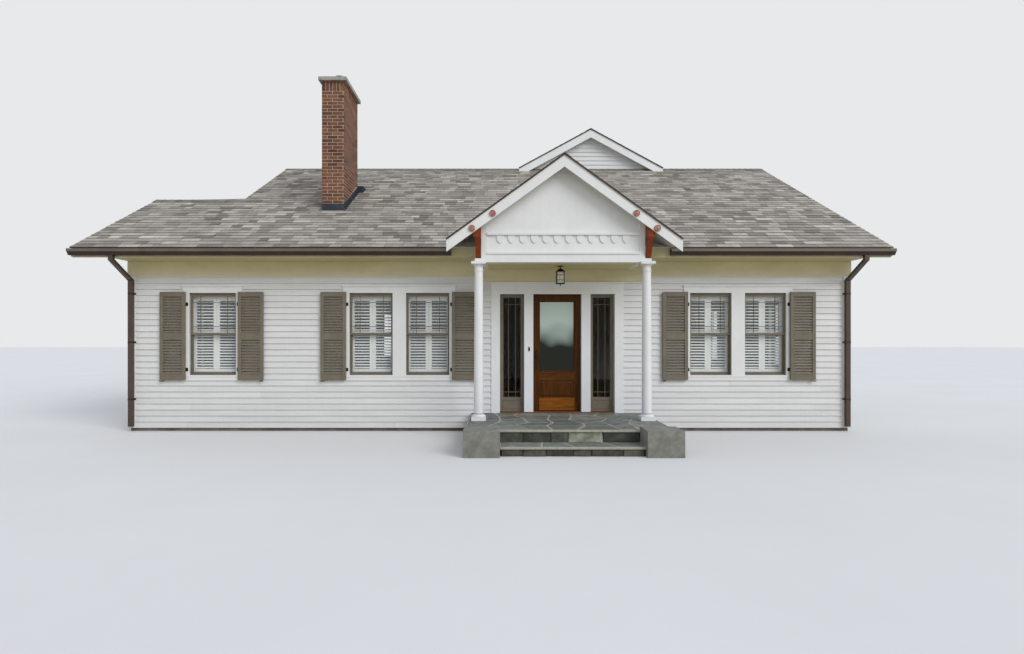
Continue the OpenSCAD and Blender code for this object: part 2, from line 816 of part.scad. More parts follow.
module chimney_flashing() {
    t = flashing_t;
    color("slategray") place() difference() {
        intersection() {
            block([chimney_x - chimney_w / 2 - t, chimney_y - t, eave_z],
                [chimney_x + chimney_w / 2 + t, chimney_y + chimney_d + t, chimney_h]);
            along_x(main_x0, main_x1) polygon([[0, roof_z(0)], [main_half, roof_z(main_half)],
                [main_half, roof_z(main_half) + flashing_h], [0, roof_z(0) + flashing_h]]);
        }
        chimney_shaft(0, chimney_h);
    }
}

// Corner board of the outer corner at the origin, on the faces towards -x and -y
module corner_board() {
    wide = casing_w + casing_t;
    linear_extrude(soffit_z - foundation_h) translate([-casing_t, -casing_t]) {
        square([wide, casing_t]);
        square([casing_t, wide]);
    }
}

module corner_boards() {
    color(trim_white) place() translate([0, 0, foundation_h]) {
        corner_board();
        translate([main_x1, 0, 0]) mirror([1, 0, 0]) corner_board();
        translate([main_x1, main_d, 0]) rotate(180) corner_board();
        translate([main_x0, main_d, 0]) mirror([0, 1, 0]) corner_board();
        translate([0, wing_d, 0]) mirror([0, 1, 0]) corner_board();
    }
}

// Outline of the turned part of a column, to the right of its middle line, from its plinth to
// its abacus: a torus and ring at the foot, the shaft, a neck ring and the cup of the capital
module column_profile(h) {
    r0 = column_foot_r;
    r1 = column_neck_r;
    ring_h = 18;
    ring_reach = 28;
    taper_z = 60;
    capital_h = 150;
    neck_ring_z = 40;
    neck_ring_h = 14;
    neck_ring_reach = 9;
    cup_h = 42;
    cup_reach = 34;
    cup_r = 30;
    steps = 8;
    neck = h - capital_h;
    polygon(concat([[0, 0]], [for (i = [0 : steps])
        let (s = i / steps) [r0 + (r1 - r0) * s * s, taper_z + (neck - taper_z) * s]],
        [[r1, neck], [r1, h], [0, h]]));
    square([r0 + ring_reach, ring_h]);
    translate([0, ring_h]) square([r0 + ring_reach / 2, ring_h]);
    translate([r0 + ring_reach, ring_h / 2]) circle(ring_h / 2);
    translate([0, neck + neck_ring_z]) square([r1 + neck_ring_reach, neck_ring_h]);
    translate([0, h - cup_h]) difference() {
        square([r1 + cup_reach, cup_h]);
        translate([r1 + cup_reach, 0]) circle(cup_r);
    }
}

// Turned column on a square plinth, with its abacus, which is notched round the beams, and the
// block for its bracket
module porch_column() {
    plinth_h = 60;
    abacus_h = 42;
    beam_foot = beam_z - floor_z;
    beam_side = porch_w / 2 - column_gap / 2;
    top = beam_foot + abacus_rise;
    half = abacus_w / 2;
    block([-half, -half, 0], [half, half, plinth_h]);
    translate([0, 0, plinth_h]) rotate_extrude() column_profile(top - abacus_h - plinth_h);
    difference() {
        block([-half, -half, top - abacus_h], [half, half, top]);
        block([-half - cut, -beam_d / 2, beam_foot], [beam_side, half + cut, top + cut]);
    }
    block([beam_side, -beam_d / 2, beam_foot], [half - block_inset, beam_d / 2, beam_foot + block_h]);
}

module porch_column_left() {
    color(trim_white) place_entry()
        translate([-column_gap / 2, -column_y, floor_z]) mirror([1, 0, 0]) porch_column();
}

module porch_column_right() {
    color(trim_white) place_entry() translate([column_gap / 2, -column_y, floor_z]) porch_column();
}

module porch_beam() {
    side = porch_w / 2;
    color(trim_white) place_entry() {
        block([-side, -beam_front, beam_z], [side, -beam_back, beam_z + beam_h]);
        both_sides()
            block([side - porch_side_t, -beam_back, beam_z], [side, 0, beam_z + beam_h]);
    }
}

module porch_gable_wall() {
    color(wall_white) place_entry() along_y(-gable_front, -beam_back)
        gable_fill_outline(porch_w / 2, beam_z + beam_h, porch_apex_z, porch_pitch, porch_roof_t);
}

// Outline of one scallop, a short board with a pointed round end that two arcs make, with its
// top's middle at the origin
module scallop_outline() {
    arc_share = 0.8;
    half = scallop_w / 2;
    r = scallop_w * arc_share;
    arc_h = sqrt(r * r - (r - half) * (r - half));
    translate([-half, arc_h - scallop_drop])
        square([scallop_w, scallop_drop - arc_h + moulding_h / 2]);
    translate([0, arc_h - scallop_drop]) intersection() {
        translate([half - r, 0]) circle(r);
        translate([r - half, 0]) circle(r);
        translate([-half, -arc_h]) square([scallop_w, arc_h + cut]);
    }
}

// Mouldings, hanging scallops and corner boards on the porch gable
module porch_frieze() {
    side = porch_w / 2 - porch_corner_w;
    bare_end = 100;
    count = floor(2 * (side - bare_end) / scallop_pitch);
    gable = -gable_front;
    color(trim_white) place_entry() {
        along_y(gable - scallop_t, gable) for (i = [0 : count - 1])
            translate([(i - (count - 1) / 2) * scallop_pitch, scallop_top_z]) scallop_outline();
        block([-side, gable - moulding_reach, scallop_top_z],
            [side, gable, scallop_top_z + moulding_h]);
        block([-side, gable - moulding_reach, beam_z + beam_h],
            [side, gable, beam_z + beam_h + moulding_h]);
        both_sides() along_y(gable - scallop_t, gable) polygon([
            [side, beam_z + beam_h], [porch_w / 2, beam_z + beam_h],
            [porch_w / 2, porch_z(porch_w / 2) - porch_roof_t],
            [side, porch_z(side) - porch_roof_t]]);
    }
}

module porch_side_walls() {
    side = porch_w / 2;
    top = porch_z(side) - porch_roof_t;
    color(wall_white) place() difference() {
        translate([entry_x, 0, 0]) both_sides()
            block([side - porch_side_t, -beam_back, beam_z + beam_h], [side, 0, top]);
        main_slope();
    }
}

module porch_roof() {
    back = (porch_apex_z - roof_wall_z) / roof_pitch + cut;
    color(roof_grey) place() difference() {
        translate([entry_x, 0, 0]) {
            along_y(board_t - porch_reach, back)
                gable_roof_outline(porch_roof_half, porch_apex_z, porch_pitch, porch_roof_t);
            along_y(-porch_reach - porch_lip, board_t - porch_reach)
                gable_roof_outline(porch_roof_half, porch_apex_z, porch_pitch, cover_t);
        }
        under_roof(main_x0, main_x1, main_d);
    }
}

module porch_rake_boards() {
    color(trim_white) place_entry() along_y(-porch_reach, board_t - porch_reach)
        gable_roof_outline(porch_roof_half, porch_apex_z - cover_t, porch_pitch, porch_rake_h);
}

// Each bracket leans out from its column's block to a purlin under the roof's overhang
module porch_brackets() {
    foot = beam_z + block_h;
    side = porch_w / 2;
    x0 = side + bracket_set;
    x1 = side + purlin_w;
    purlin_z = porch_z(x1) - porch_roof_t - purlin_h;
    rake_back = board_t - porch_reach;
    color(stained) place_entry() both_sides() {
        along_y(rake_back, -gable_front) polygon([[side, purlin_z], [x1, purlin_z],
            [x1, porch_z(x1) - porch_roof_t], [side, porch_z(side) - porch_roof_t]]);
        along_x(x0, x0 + bracket_w) polygon([[-beam_front, foot], [bracket_w - beam_front, foot],
            [rake_back + bracket_w, purlin_z + cut], [rake_back, purlin_z + cut]]);
        for (x = [lower_rosette_x, lower_rosette_x - rosette_gap])
            translate([x, -porch_reach, porch_z(x) - rosette_drop])
                rotate([90, 0, 0]) cylinder(h = rosette_t, r = rosette_r);
    }
}

module porch_ceiling() {
    inner = porch_w / 2 - porch_side_t;
    color(wall_white) place_entry()
        block([-inner, -beam_back, beam_z], [inner, 0, beam_z + ceiling_t]);
}

// Lantern with a ceiling plate, a stem, a square pyramid for its cap and four corner bars
module lantern() {
    half = lantern_w / 2;
    top = lantern_z + lantern_h;
    plate_h = 14;
    plate_r = 52;
    stem_r = 9;
    brim = 47;
    tip_r = 22;
    rim = 6;
    color("black") place_entry() translate([0, -lantern_y, 0]) {
        translate([0, 0, beam_z - plate_h]) cylinder(h = plate_h, r = plate_r);
        translate([0, 0, top + lantern_cap_h / 2])
            cylinder(h = beam_z - top - lantern_cap_h / 2, r = stem_r);
        translate([0, 0, top]) rotate(45)
            cylinder(h = lantern_cap_h, r1 = half + brim, r2 = tip_r, $fn = 4);
        block([-half - rim, -half - rim, lantern_z - plate_h], [half + rim, half + rim, lantern_z]);
        for (x = [-half, half - lantern_bar], y = [-half, half - lantern_bar])
            block([x, y, lantern_z - cut], [x + lantern_bar, y + lantern_bar, top + cut]);
    }
}

module lantern_glass() {
    half = lantern_w / 2 - lantern_bar;
    pane = 3;
    color("lightblue") place_entry() translate([0, -lantern_y, 0]) difference() {
        block([-half, -half, lantern_z], [half, half, lantern_z + lantern_h]);
        block([pane - half, pane - half, lantern_z - cut],
            [half - pane, half - pane, lantern_z + lantern_h + cut]);
    }
}

module landing() {
    half = landing_w / 2;
    color(stone_grey) place_entry() block([-half, -landing_d, 0], [half, 0, floor_z]);
}

module lower_step() {
    half = landing_w / 2 - pedestal_w;
    color(stone_grey) place_entry() block([-half, -landing_d - step_d, 0], [half, -landing_d, step_h]);
}

module pedestals() {
    half = landing_w / 2;
    color("gray") place_entry() both_sides()
        block([half - pedestal_w, -pedestal_reach, 0], [half, -landing_d, pedestal_h]);
}

// One half of a butt hinge: its knuckle, and its plate towards +x on the frame's back face
module hinge_half(z, bore) {
    difference() {
        union() {
            cylinder(h = z, r = butt_r);
            block([0, -butt_set, 0], [butt_leaf_w, butt_leaf_t - butt_set, z]);
        }
        translate([0, 0, -cut]) cylinder(h = z + 2 * cut, r = bore);
    }
}

module entry_posts() {
    color(trim_white) place_entry() {
        both_sides() block([post_in, -casing_t, floor_z + threshold_h],
            [post_out, door_back, floor_z + door_h]);
        for (z = hinge_steps) translate([hinge_x, hinge_y, z]) {
            hinge_half(butt_h, 0);
            cylinder(h = 2 * butt_h, r = butt_pin_r);
        }
    }
}

module entry_casing() {
    side = entry_half + entry_casing_w;
    top = entry_head_z + entry_head_h;
    cap = [15, 22, 26];
    color(trim_white) place_entry() {
        both_sides() block([entry_half, -casing_t, floor_z], [side, 0, entry_head_z]);
        block([-side, -casing_t, entry_head_z], [side, 0, top]);
        block([-side - cap[0], -casing_t - cap[1], top], [side + cap[0], 0, top + cap[2]]);
        block([-entry_half, -casing_t, floor_z + door_h], [entry_half, door_back, entry_head_z]);
    }
}

module threshold() {
    nose = 40;
    color(stained) place_entry()
        block([-entry_half, -nose, floor_z], [entry_half, door_back, floor_z + threshold_h]);
}

// A framed pane with its opening left free, between two corners in the x-z plane
module framed(x0, x1, z0, z1, y0, y1, stile, rail0, rail1) {
    difference() {
        block([x0, y0, z0], [x1, y1, z1]);
        block([x0 + stile, y0 - cut, z0 + rail0], [x1 - stile, y1 + cut, z1 - rail1]);
    }
}

module sidelights() {
    y0 = leaf_y;
    y1 = door_back;
    color(taupe) place_entry() both_sides() {
        framed(post_out, entry_half, floor_z + threshold_h, floor_z + door_h, y0, y1,
            sidelight_stile, sidelight_base_h, sidelight_stile);
    }
}

// The front door is drawn with its hinge edge to the right
module front_door() {
    inner = leaf_half - door_stile;
    panel_z = leaf_z + door_bottom_rail;
    deep = 14;
    margin = 34;
    color(stained) place_entry() difference() {
        block([-leaf_half, leaf_y, leaf_z], [leaf_half, leaf_y + door_t, leaf_z + leaf_h]);
        block([-inner, leaf_y - cut, leaf_z + door_glass_z],
            [inner, leaf_y + door_t + cut, leaf_z + leaf_h - door_top_rail]);
        for (y = [leaf_y - cut, leaf_y + door_t - deep]) difference() {
            block([-inner, y, panel_z], [inner, y + deep + cut, panel_z + door_panel_h]);
            block([margin - inner, y - cut, panel_z + margin],
                [inner - margin, y + deep + 2 * cut, panel_z + door_panel_h - margin]);
        }
    }
    color(stained) place_entry() for (z = hinge_steps)
        translate([hinge_x, hinge_y, z + butt_h + pin_fit]) mirror([1, 0, 0])
            hinge_half(butt_h, butt_pin_r + pin_fit);
}

module door_glass() {
    inner = leaf_half - door_stile;
    y = leaf_y + (door_t - glass_t) / 2;
    color("lightblue") place_entry() block([-inner, y, leaf_z + door_glass_z],
        [inner, y + glass_t, leaf_z + leaf_h - door_top_rail]);
}

// Pull with its thumb plate outside, a knob inside, and the bolt's cylinder above them
module door_handle() {
    x = 58 - leaf_half;
    z0 = leaf_z + handle_z;
    z1 = z0 + grip_h;
    bolt = leaf_z + bolt_z;
    back = leaf_y + door_t;
    out = 52;
    grip_r = 9;
    bolt_r = 27;
    bolt_out = 20;
    plate_half = 24;
    plate_t = 6;
    plate_up = 50;
    plate_down = 40;
    neck_r = 11;
    neck_out = 40;
    knob_r = 27;
    knob_t = 22;
    color("dimgray") place_entry() {
        for (z = [z0, z1]) translate([x, leaf_y, z]) rotate([90, 0, 0])
            cylinder(h = out, r = grip_r);
        translate([x, leaf_y - out, z0]) cylinder(h = grip_h, r = grip_r);
        block([x - plate_half, leaf_y - plate_t, z1 - plate_down],
            [x + plate_half, leaf_y, z1 + plate_up]);
        translate([x, leaf_y, bolt]) rotate([90, 0, 0]) cylinder(h = bolt_out, r = bolt_r);
        translate([x, back, bolt]) rotate([-90, 0, 0]) cylinder(h = bolt_out, r = bolt_r);
        translate([x, back, z1]) rotate([-90, 0, 0]) {
            cylinder(h = neck_out, r = neck_r);
            translate([0, 0, neck_out]) cylinder(h = knob_t, r = knob_r);
        }
    }
}

// Flat casings with a sill's nose and a moulded cap, round each window group
module window_casings() {
    nose_h = 32;
    cap_side = 12;
    cap_out = 18;
    cap_h = 24;
    color(trim_white) place() for (g = all_windows) translate([g[0], g[1], 0]) rotate(g[2]) {
        side = group_half(g) + casing_w;
        head = g[6] + casing_w;
        difference() {
            block([-side, -casing_t, g[5] - sill_board_h], [side, 0, head]);
            for (x = offsets(g)) block([x - g[3] / 2, -casing_t - cut, g[5]],
                [x + g[3] / 2, cut, g[6]]);
        }
        block([-side, -casing_t - sill_nose, g[5] - nose_h], [side, -casing_t, g[5]]);
        block([-side - cap_side, -casing_t - cap_out, head], [side + cap_side, 0, head + cap_h]);
    }
}

// Frame and two sliding sashes of one window of width w, from sill z0 to head z1
module sashes(w, z0, z1) {
    half = w / 2;
    inner = half - frame_w;
    mid = (z0 + z1) / 2;
    y1 = frame_y + 2 * sash_t;
    framed(-half, half, z0, z1, frame_y, y1, frame_w, frame_w, frame_w);
    framed(-inner, inner, mid - sash_w / 2, z1 - frame_w, frame_y, frame_y + sash_t,
        sash_w, sash_w, sash_w);
    framed(-inner, inner, z0 + frame_w, mid + sash_w / 2, frame_y + sash_t, y1,
        sash_w, sash_w, sash_w);
}

module window_sashes() {
    color(taupe) place() for (g = all_windows) translate([g[0], g[1], 0]) rotate(g[2])
        for (x = offsets(g)) translate([x, 0, 0]) sashes(g[3], g[5], g[6]);
}

// Panes of the sashes, and of the sidelights beside the door
module window_glass() {
    door_y = leaf_y + (door_t - glass_t) / 2;
    color("lightblue") place_entry() both_sides()
        block([post_out + sidelight_stile, door_y, floor_z + threshold_h + sidelight_base_h],
            [entry_half - sidelight_stile, door_y + glass_t, floor_z + door_h - sidelight_stile]);
    color("lightblue") place() for (g = all_windows) translate([g[0], g[1], 0]) rotate(g[2])
        for (x = offsets(g)) translate([x, 0, 0]) {
            half = g[3] / 2 - frame_w - sash_w;
            mid = (g[5] + g[6]) / 2;
            lap = sash_w / 2;
            y = frame_y + (sash_t - glass_t) / 2;
            block([-half, y, mid + lap], [half, y + glass_t, g[6] - frame_w - sash_w]);
            block([-half, y + sash_t, g[5] + frame_w + sash_w],
                [half, y + sash_t + glass_t, mid - lap]);
        }
}

// Two plantation shutter panels inside one window of width w
module inner_panels(w, z0, z1) {
    y0 = wall_t - inner_set - inner_shutter_t;
    y1 = y0 + inner_shutter_t;
    slat = 8;
    mid = (y0 + y1) / 2;
    for (x = [[-w / 2, 0], [0, w / 2]]) {
        framed(x[0], x[1], z0, z1, y0, y1, inner_stile, inner_rail, inner_rail);
        block([x[0] + cut, mid - slat / 2, z0 + cut], [x[1] - cut, mid + slat / 2, z1 - cut]);
    }
}

module inner_shutters() {
    color("ivory") place() for (g = front_windows) for (x = offsets(g)) translate([g[0] + x, 0, 0])
        inner_panels(g[3], g[5], g[6]);
}

// Tilted slats that fill a shutter's field from z0 to z1
module louvres(x0, x1, z0, z1) {
    spare = 20;
    count = floor((z1 - z0 - spare) / louvre_pitch);
    first = (z0 + z1 - (count - 1) * louvre_pitch) / 2;
    for (i = [0 : count - 1]) translate([x0, 0, first + i * louvre_pitch])
        rotate([louvre_slope, 0, 0]) translate([0, -louvre_w / 2, -louvre_t / 2])
            cube([x1 - x0, louvre_w, louvre_t]);
}

// One shutter in its own coordinates: its pin at the origin, opening out towards +x
module shutter_leaf() {
    x0 = pin_gap;
    x1 = pin_gap + shutter_w;
    y = shutter_t / 2;
    z1 = shutter_z + shutter_h;
    mid0 = z1 - shutter_mid_drop - shutter_mid_rail / 2;
    mid1 = mid0 + shutter_mid_rail;
    tenon = 5;
    slat0 = x0 + shutter_stile - tenon;
    slat1 = x1 - shutter_stile + tenon;
    slat_set = 2;
    strap_half = 4;
    strap_end = pin_gap + 8;
    color(taupe) {
        difference() {
            block([x0, -y, shutter_z], [x1, y, z1]);
            block([x0 + shutter_stile, -y - cut, shutter_z + shutter_rail],
                [x1 - shutter_stile, y + cut, mid0]);
            block([x0 + shutter_stile, -y - cut, mid1],
                [x1 - shutter_stile, y + cut, z1 - shutter_rail]);
        }
        intersection() {
            union() {
                louvres(slat0, slat1, shutter_z + shutter_rail, mid0);
                louvres(slat0, slat1, mid1, z1 - shutter_rail);
            }
            block([x0, slat_set - y, shutter_z], [x1, y - slat_set, z1]);
        }
        for (z = hinge_levels) difference() {
            union() {
                translate([0, 0, z]) cylinder(h = knuckle_h, r = knuckle_r);
                block([0, -strap_half, z], [strap_end, strap_half, z + knuckle_h]);
            }
            translate([0, 0, z - cut]) cylinder(h = knuckle_h + 2 * cut, r = pin_r + pin_fit);
        }
    }
}

// A shutter's place is its window group and the side that it hangs on
module at_hinge(g, side) {
    place() translate([g[0] + side * (group_half(g) + hinge_inset), -pin_y, 0])
        mirror([side > 0 ? 0 : 1, 0, 0]) children();
}

module left_window_left_shutter() at_hinge(left_window, -1) shutter_leaf();
module left_window_right_shutter() at_hinge(left_window, 1) shutter_leaf();
module middle_window_left_shutter() at_hinge(middle_window, -1) shutter_leaf();
module middle_window_right_shutter() at_hinge(middle_window, 1) shutter_leaf();
module right_window_left_shutter() at_hinge(right_window, -1) shutter_leaf();
module right_window_right_shutter() at_hinge(right_window, 1) shutter_leaf();

// Pins on their casing plates, and the turned holdback under the shutter's outer corner
module shutter_pins() {
    arm_h = 10;
    arm = pin_r + 2;
    short = 4;
    plate_t = 4;
    plate_w = 45;
    plate_down = 20;
    plate_up = 40;
    plate = pin_y - casing_t;
    dog_x = pin_gap + shutter_w - 50;
    dog_z = shutter_z - 18;
    dog_y = -shutter_t / 2;
    dog_half = 8;
    dog_t = 6;
    dog_w = 52;
    for (z = hinge_levels) {
        translate([0, 0, z - pin_fit - arm_h]) {
            cylinder(h = arm_h, r = arm);
            cylinder(h = knuckle_h + arm_h - short, r = pin_r);
            block([-arm, 0, 0], [arm, plate - plate_t, arm_h]);
        }
        block([-plate_w, plate - plate_t, z - plate_down], [arm, plate, z + plate_up]);
    }
    translate([dog_x, pin_y, dog_z]) rotate([90, 0, 0]) cylinder(h = pin_y - dog_y, r = dog_t);
    block([dog_x - dog_half, dog_y - dog_t, dog_z - dog_half],
        [dog_x + dog_w, dog_y, dog_z + dog_half]);
}

module shutter_hardware() {
    color("black") for (g = front_windows, side = [-1, 1]) at_hinge(g, side) shutter_pins();
}

foundation();
floor();
front_wall_left();
front_wall_right();
front_wall_over_door();
right_gable_wall();
rear_wall();
left_gable_wall();
left_wall_over_wing();
wing_end_wall();
wing_rear_wall();
main_roof_front();
main_roof_rear();
wing_roof();
attic_gable_walls();
attic_gable_roof();
eave_boards();
rake_boards();
gutters();
downspouts();
chimney();
chimney_cap();
chimney_flashing();
corner_boards();
porch_column_left();
porch_column_right();
porch_beam();
porch_gable_wall();
porch_frieze();
porch_side_walls();
porch_roof();
porch_rake_boards();
porch_brackets();
porch_ceiling();
lantern();
lantern_glass();
landing();
lower_step();
pedestals();
entry_posts();
entry_casing();
threshold();
sidelights();
front_door();
door_glass();
door_handle();
window_casings();
window_sashes();
window_glass();
inner_shutters();
shutter_hardware();
left_window_left_shutter();
left_window_right_shutter();
middle_window_left_shutter();
middle_window_right_shutter();
right_window_left_shutter();
right_window_right_shutter();
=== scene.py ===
"""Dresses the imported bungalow: lap siding, shingles, brickwork, stone, glazing bars and every finish.

House coordinates are metres: x along the front from the wing's outer wall, y inwards from the front
wall's outer face, z up from the ground. Mesh.build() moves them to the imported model's own frame.
"""
import json
import logging
import math
from collections.abc import Callable, Iterator
from dataclasses import dataclass, field, replace
from enum import Enum

import bmesh
import bpy
import numpy as np
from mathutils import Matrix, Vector

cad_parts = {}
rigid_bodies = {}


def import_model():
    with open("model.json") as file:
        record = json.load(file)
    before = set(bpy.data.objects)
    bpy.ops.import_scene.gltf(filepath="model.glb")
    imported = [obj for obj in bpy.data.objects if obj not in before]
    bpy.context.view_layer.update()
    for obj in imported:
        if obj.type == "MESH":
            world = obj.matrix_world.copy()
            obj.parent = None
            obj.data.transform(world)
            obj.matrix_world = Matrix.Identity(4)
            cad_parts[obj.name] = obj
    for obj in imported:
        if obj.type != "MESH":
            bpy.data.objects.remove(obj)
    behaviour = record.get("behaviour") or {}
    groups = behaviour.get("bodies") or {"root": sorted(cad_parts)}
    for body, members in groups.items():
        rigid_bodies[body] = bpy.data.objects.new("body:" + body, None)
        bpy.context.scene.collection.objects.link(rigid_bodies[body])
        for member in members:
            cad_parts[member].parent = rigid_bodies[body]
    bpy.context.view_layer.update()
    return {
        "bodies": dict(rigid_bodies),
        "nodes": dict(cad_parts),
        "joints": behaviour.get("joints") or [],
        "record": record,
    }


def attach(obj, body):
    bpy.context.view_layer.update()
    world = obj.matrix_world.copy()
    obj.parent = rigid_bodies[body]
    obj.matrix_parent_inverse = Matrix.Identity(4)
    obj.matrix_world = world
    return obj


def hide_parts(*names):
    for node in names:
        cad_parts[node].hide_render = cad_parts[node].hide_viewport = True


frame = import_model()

LOG = logging.getLogger("bungalow")
ARRAY = np.ndarray
ROWS = np.ndarray | list | tuple
Pair = tuple[float, float]
Triple = tuple[float, float, float]
Quad = tuple[float, float, float, float]
Place = Callable[[ARRAY], ARRAY]
SEED = 20


@dataclass(frozen=True)
class Plan:
    """Main sizes of the house in metres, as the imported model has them."""
    centre_x: float = 6.2225
    centre_y: float = 3.3885
    main_x0: float = 1.58
    main_x1: float = 12.685
    main_w: float = 11.105
    main_d: float = 8.4
    wing_d: float = 3.63
    ground_z: float = 0.06
    floor_z: float = 0.32
    soffit_z: float = 2.989
    eave_z: float = 3.153
    wall_z: float = 3.4722
    pitch: float = 0.57
    roof_t: float = 0.15
    reach: float = 0.56
    rake: float = 0.40
    wing_rake: float = 0.64
    corner: float = 0.112
    entry_x: float = 7.54
    landing_w: float = 3.04
    landing_d: float = 1.83
    pedestal_w: float = 0.51
    attic_x: float = 8.78
    attic_half: float = 1.60
    attic_y: float = 7.0
    attic_apex: float = 6.8202
    attic_pitch: float = 0.543
    attic_roof_t: float = 0.11
    attic_reach: float = 0.18
    porch_apex: float = 4.53
    porch_pitch: float = 0.72
    porch_half: float = 1.85
    porch_front: float = 1.155

    def roof_z(self, run: float) -> float:
        """Height of the main roof's surface, run metres in from the wall's outer face."""
        return self.wall_z + self.pitch * run

    def under_z(self, run: float) -> float:
        """Height of the roof's underside there."""
        return self.roof_z(run) - self.roof_t


PLAN = Plan()


@dataclass(frozen=True)
class WindowGroup:
    """One window or a pair: its middle, its wall's turn in degrees, a window's width and levels."""
    x: float
    y: float
    turn: float
    width: float
    count: int = 1
    sill: float = 0.987
    head: float = 2.434
    pier: float = 0.235
    casing: float = 0.11

    @property
    def half(self) -> float:
        """Half the width over the outermost openings."""
        return (self.count * self.width + (self.count - 1) * self.pier) / 2

    def offsets(self) -> list[float]:
        """Places of the windows' middles along the wall, from the group's middle."""
        return [(i - (self.count - 1) / 2) * (self.width + self.pier) for i in range(self.count)]

    def place(self, points: ARRAY) -> ARRAY:
        """Turns points drawn for the front wall (x along it, y inwards) into house coordinates.

        Args:
            points: array (..., 3), measured from the group's middle.
        Returns:
            The same array turned about z and moved to the group's place.
        """
        angle = math.radians(self.turn)
        x = points[..., 0] * math.cos(angle) - points[..., 1] * math.sin(angle) + self.x
        y = points[..., 0] * math.sin(angle) + points[..., 1] * math.cos(angle) + self.y
        return np.stack([x, y, points[..., 2]], axis=-1)


FRONT_WINDOWS = (WindowGroup(1.472, 0, 0, 0.825), WindowGroup(4.758, 0, 0, 0.763, 2),
                 WindowGroup(10.723, 0, 0, 0.73, 2))
RIGHT_WINDOWS = tuple(WindowGroup(PLAN.main_x1, PLAN.main_d * s, 90, 0.76) for s in (0.27, 0.72))
REAR_WINDOWS = tuple(WindowGroup(PLAN.main_x0 + PLAN.main_w * s, PLAN.main_d, 180, 0.76)
                     for s in (0.14, 0.38, 0.84))
LEFT_WINDOW = WindowGroup(PLAN.main_x0, 6.015, -90, 0.76)
WING_WINDOW = WindowGroup(0.0, 1.815, -90, 0.76)
ATTIC_WINDOW = WindowGroup(PLAN.attic_x, PLAN.attic_y, 180, 0.76, 1, 4.5302, 5.8414)
ALL_WINDOWS = FRONT_WINDOWS + RIGHT_WINDOWS + REAR_WINDOWS + (LEFT_WINDOW, WING_WINDOW, ATTIC_WINDOW)
SHUTTERS = tuple(f"{place}_window_{side}_shutter" for place in ("left", "middle", "right")
                 for side in ("left", "right"))


# Finishes

def srgb(*channels: float) -> tuple[float, ...]:
    """A colour written 0 to 255, as linear values with an alpha of 1.

    A channel's share s of 255 becomes (s + 0.055) / 1.055 to the power 2.4, or s / 12.92 where s
    is 0.04045 or less.
    """
    shares = [channel / 255 for channel in channels]
    return *(s / 12.92 if s <= 0.04045 else ((s + 0.055) / 1.055) ** 2.4 for s in shares), 1.0


class Effect(Enum):
    """The node group that makes a finish's pattern."""
    WEATHER = "weathered surface"
    GRAIN = "wood grain"
    PLANKS = "planks"


class Nodes:
    """Adds nodes to one tree and links them in a line of calls."""

    def __init__(self, tree: bpy.types.NodeTree) -> None:
        """Keeps the tree that the nodes go into."""
        self.tree = tree

    def feed(self, socket: bpy.types.NodeSocket, value) -> None:
        """Links a socket to the output that feeds it, or sets it to a value."""
        if isinstance(value, bpy.types.NodeSocket):
            self.tree.links.new(value, socket)
        else:
            socket.default_value = value

    def add(self, kind: str, inputs: dict | None = None, **settings) -> bpy.types.Node:
        """Adds a node.

        Args:
            kind: the node's type name without its ShaderNode prefix.
            inputs: socket name or number to a value, or to the output socket that feeds it.
            settings: the node's own properties.
        Returns:
            The new node.
        """
        node = self.tree.nodes.new("ShaderNode" + kind)
        for key, value in settings.items():
            setattr(node, key, value)
        for key, value in (inputs or {}).items():
            self.feed(node.inputs[key], value)
        return node

    def math(self, operation: str, a, b=0.0) -> bpy.types.NodeSocket:
        """One sum of two numbers or sockets, and its result."""
        return self.add("Math", {0: a, 1: b}, operation=operation).outputs[0]

    def times(self, a, b) -> bpy.types.NodeSocket:
        """The product of two numbers or sockets."""
        return self.math("MULTIPLY", a, b)

    def less(self, a, b) -> bpy.types.NodeSocket:
        """The first number or socket less the second."""
        return self.math("SUBTRACT", a, b)

    def around(self, value, amount) -> bpy.types.NodeSocket:
        """A factor about 1: the value less a half, times twice the amount, plus 1."""
        return self.math("ADD", 1.0, self.times(self.less(value, 0.5), self.times(amount, 2.0)))

    def vector(self, operation: str, inputs: dict) -> bpy.types.NodeSocket:
        """One sum of vectors, and its result."""
        return self.add("VectorMath", inputs, operation=operation).outputs[0]

    def axis(self, vector, name: str) -> bpy.types.NodeSocket:
        """One coordinate of a vector."""
        return self.add("SeparateXYZ", {0: vector}).outputs[name]

    def mixed(self, factor, a, b) -> bpy.types.NodeSocket:
        """A colour from a to b as factor goes from 0 to 1."""
        return self.add("Mix", {0: factor, 6: a, 7: b}, data_type="RGBA").outputs[2]

    def noise(self, vector, scale, detail: float, rough: float = 0.5, distortion: float = 0.0):
        """A noise between 0 and 1."""
        return self.add("TexNoise", {"Vector": vector, "Scale": scale, "Detail": detail,
                                     "Roughness": rough, "Distortion": distortion}).outputs["Fac"]

    def ranged(self, value, low: float, high: float, out_low: float = 0, out_high: float = 1):
        """A value spread from one range to another, and held inside it."""
        node = self.add("MapRange", {"Value": value, "From Min": low, "From Max": high,
                                     "To Min": out_low, "To Max": out_high})
        return node.outputs["Result"]

    def seen(self) -> bpy.types.NodeSocket:
        """1 for a ray from the camera, also by way of gloss or glass, and 0 for one that only lights."""
        path = self.add("LightPath").outputs
        indirect = self.math("MAXIMUM", path["Is Glossy Ray"], path["Is Transmission Ray"])
        return self.math("MAXIMUM", path["Is Camera Ray"], indirect)


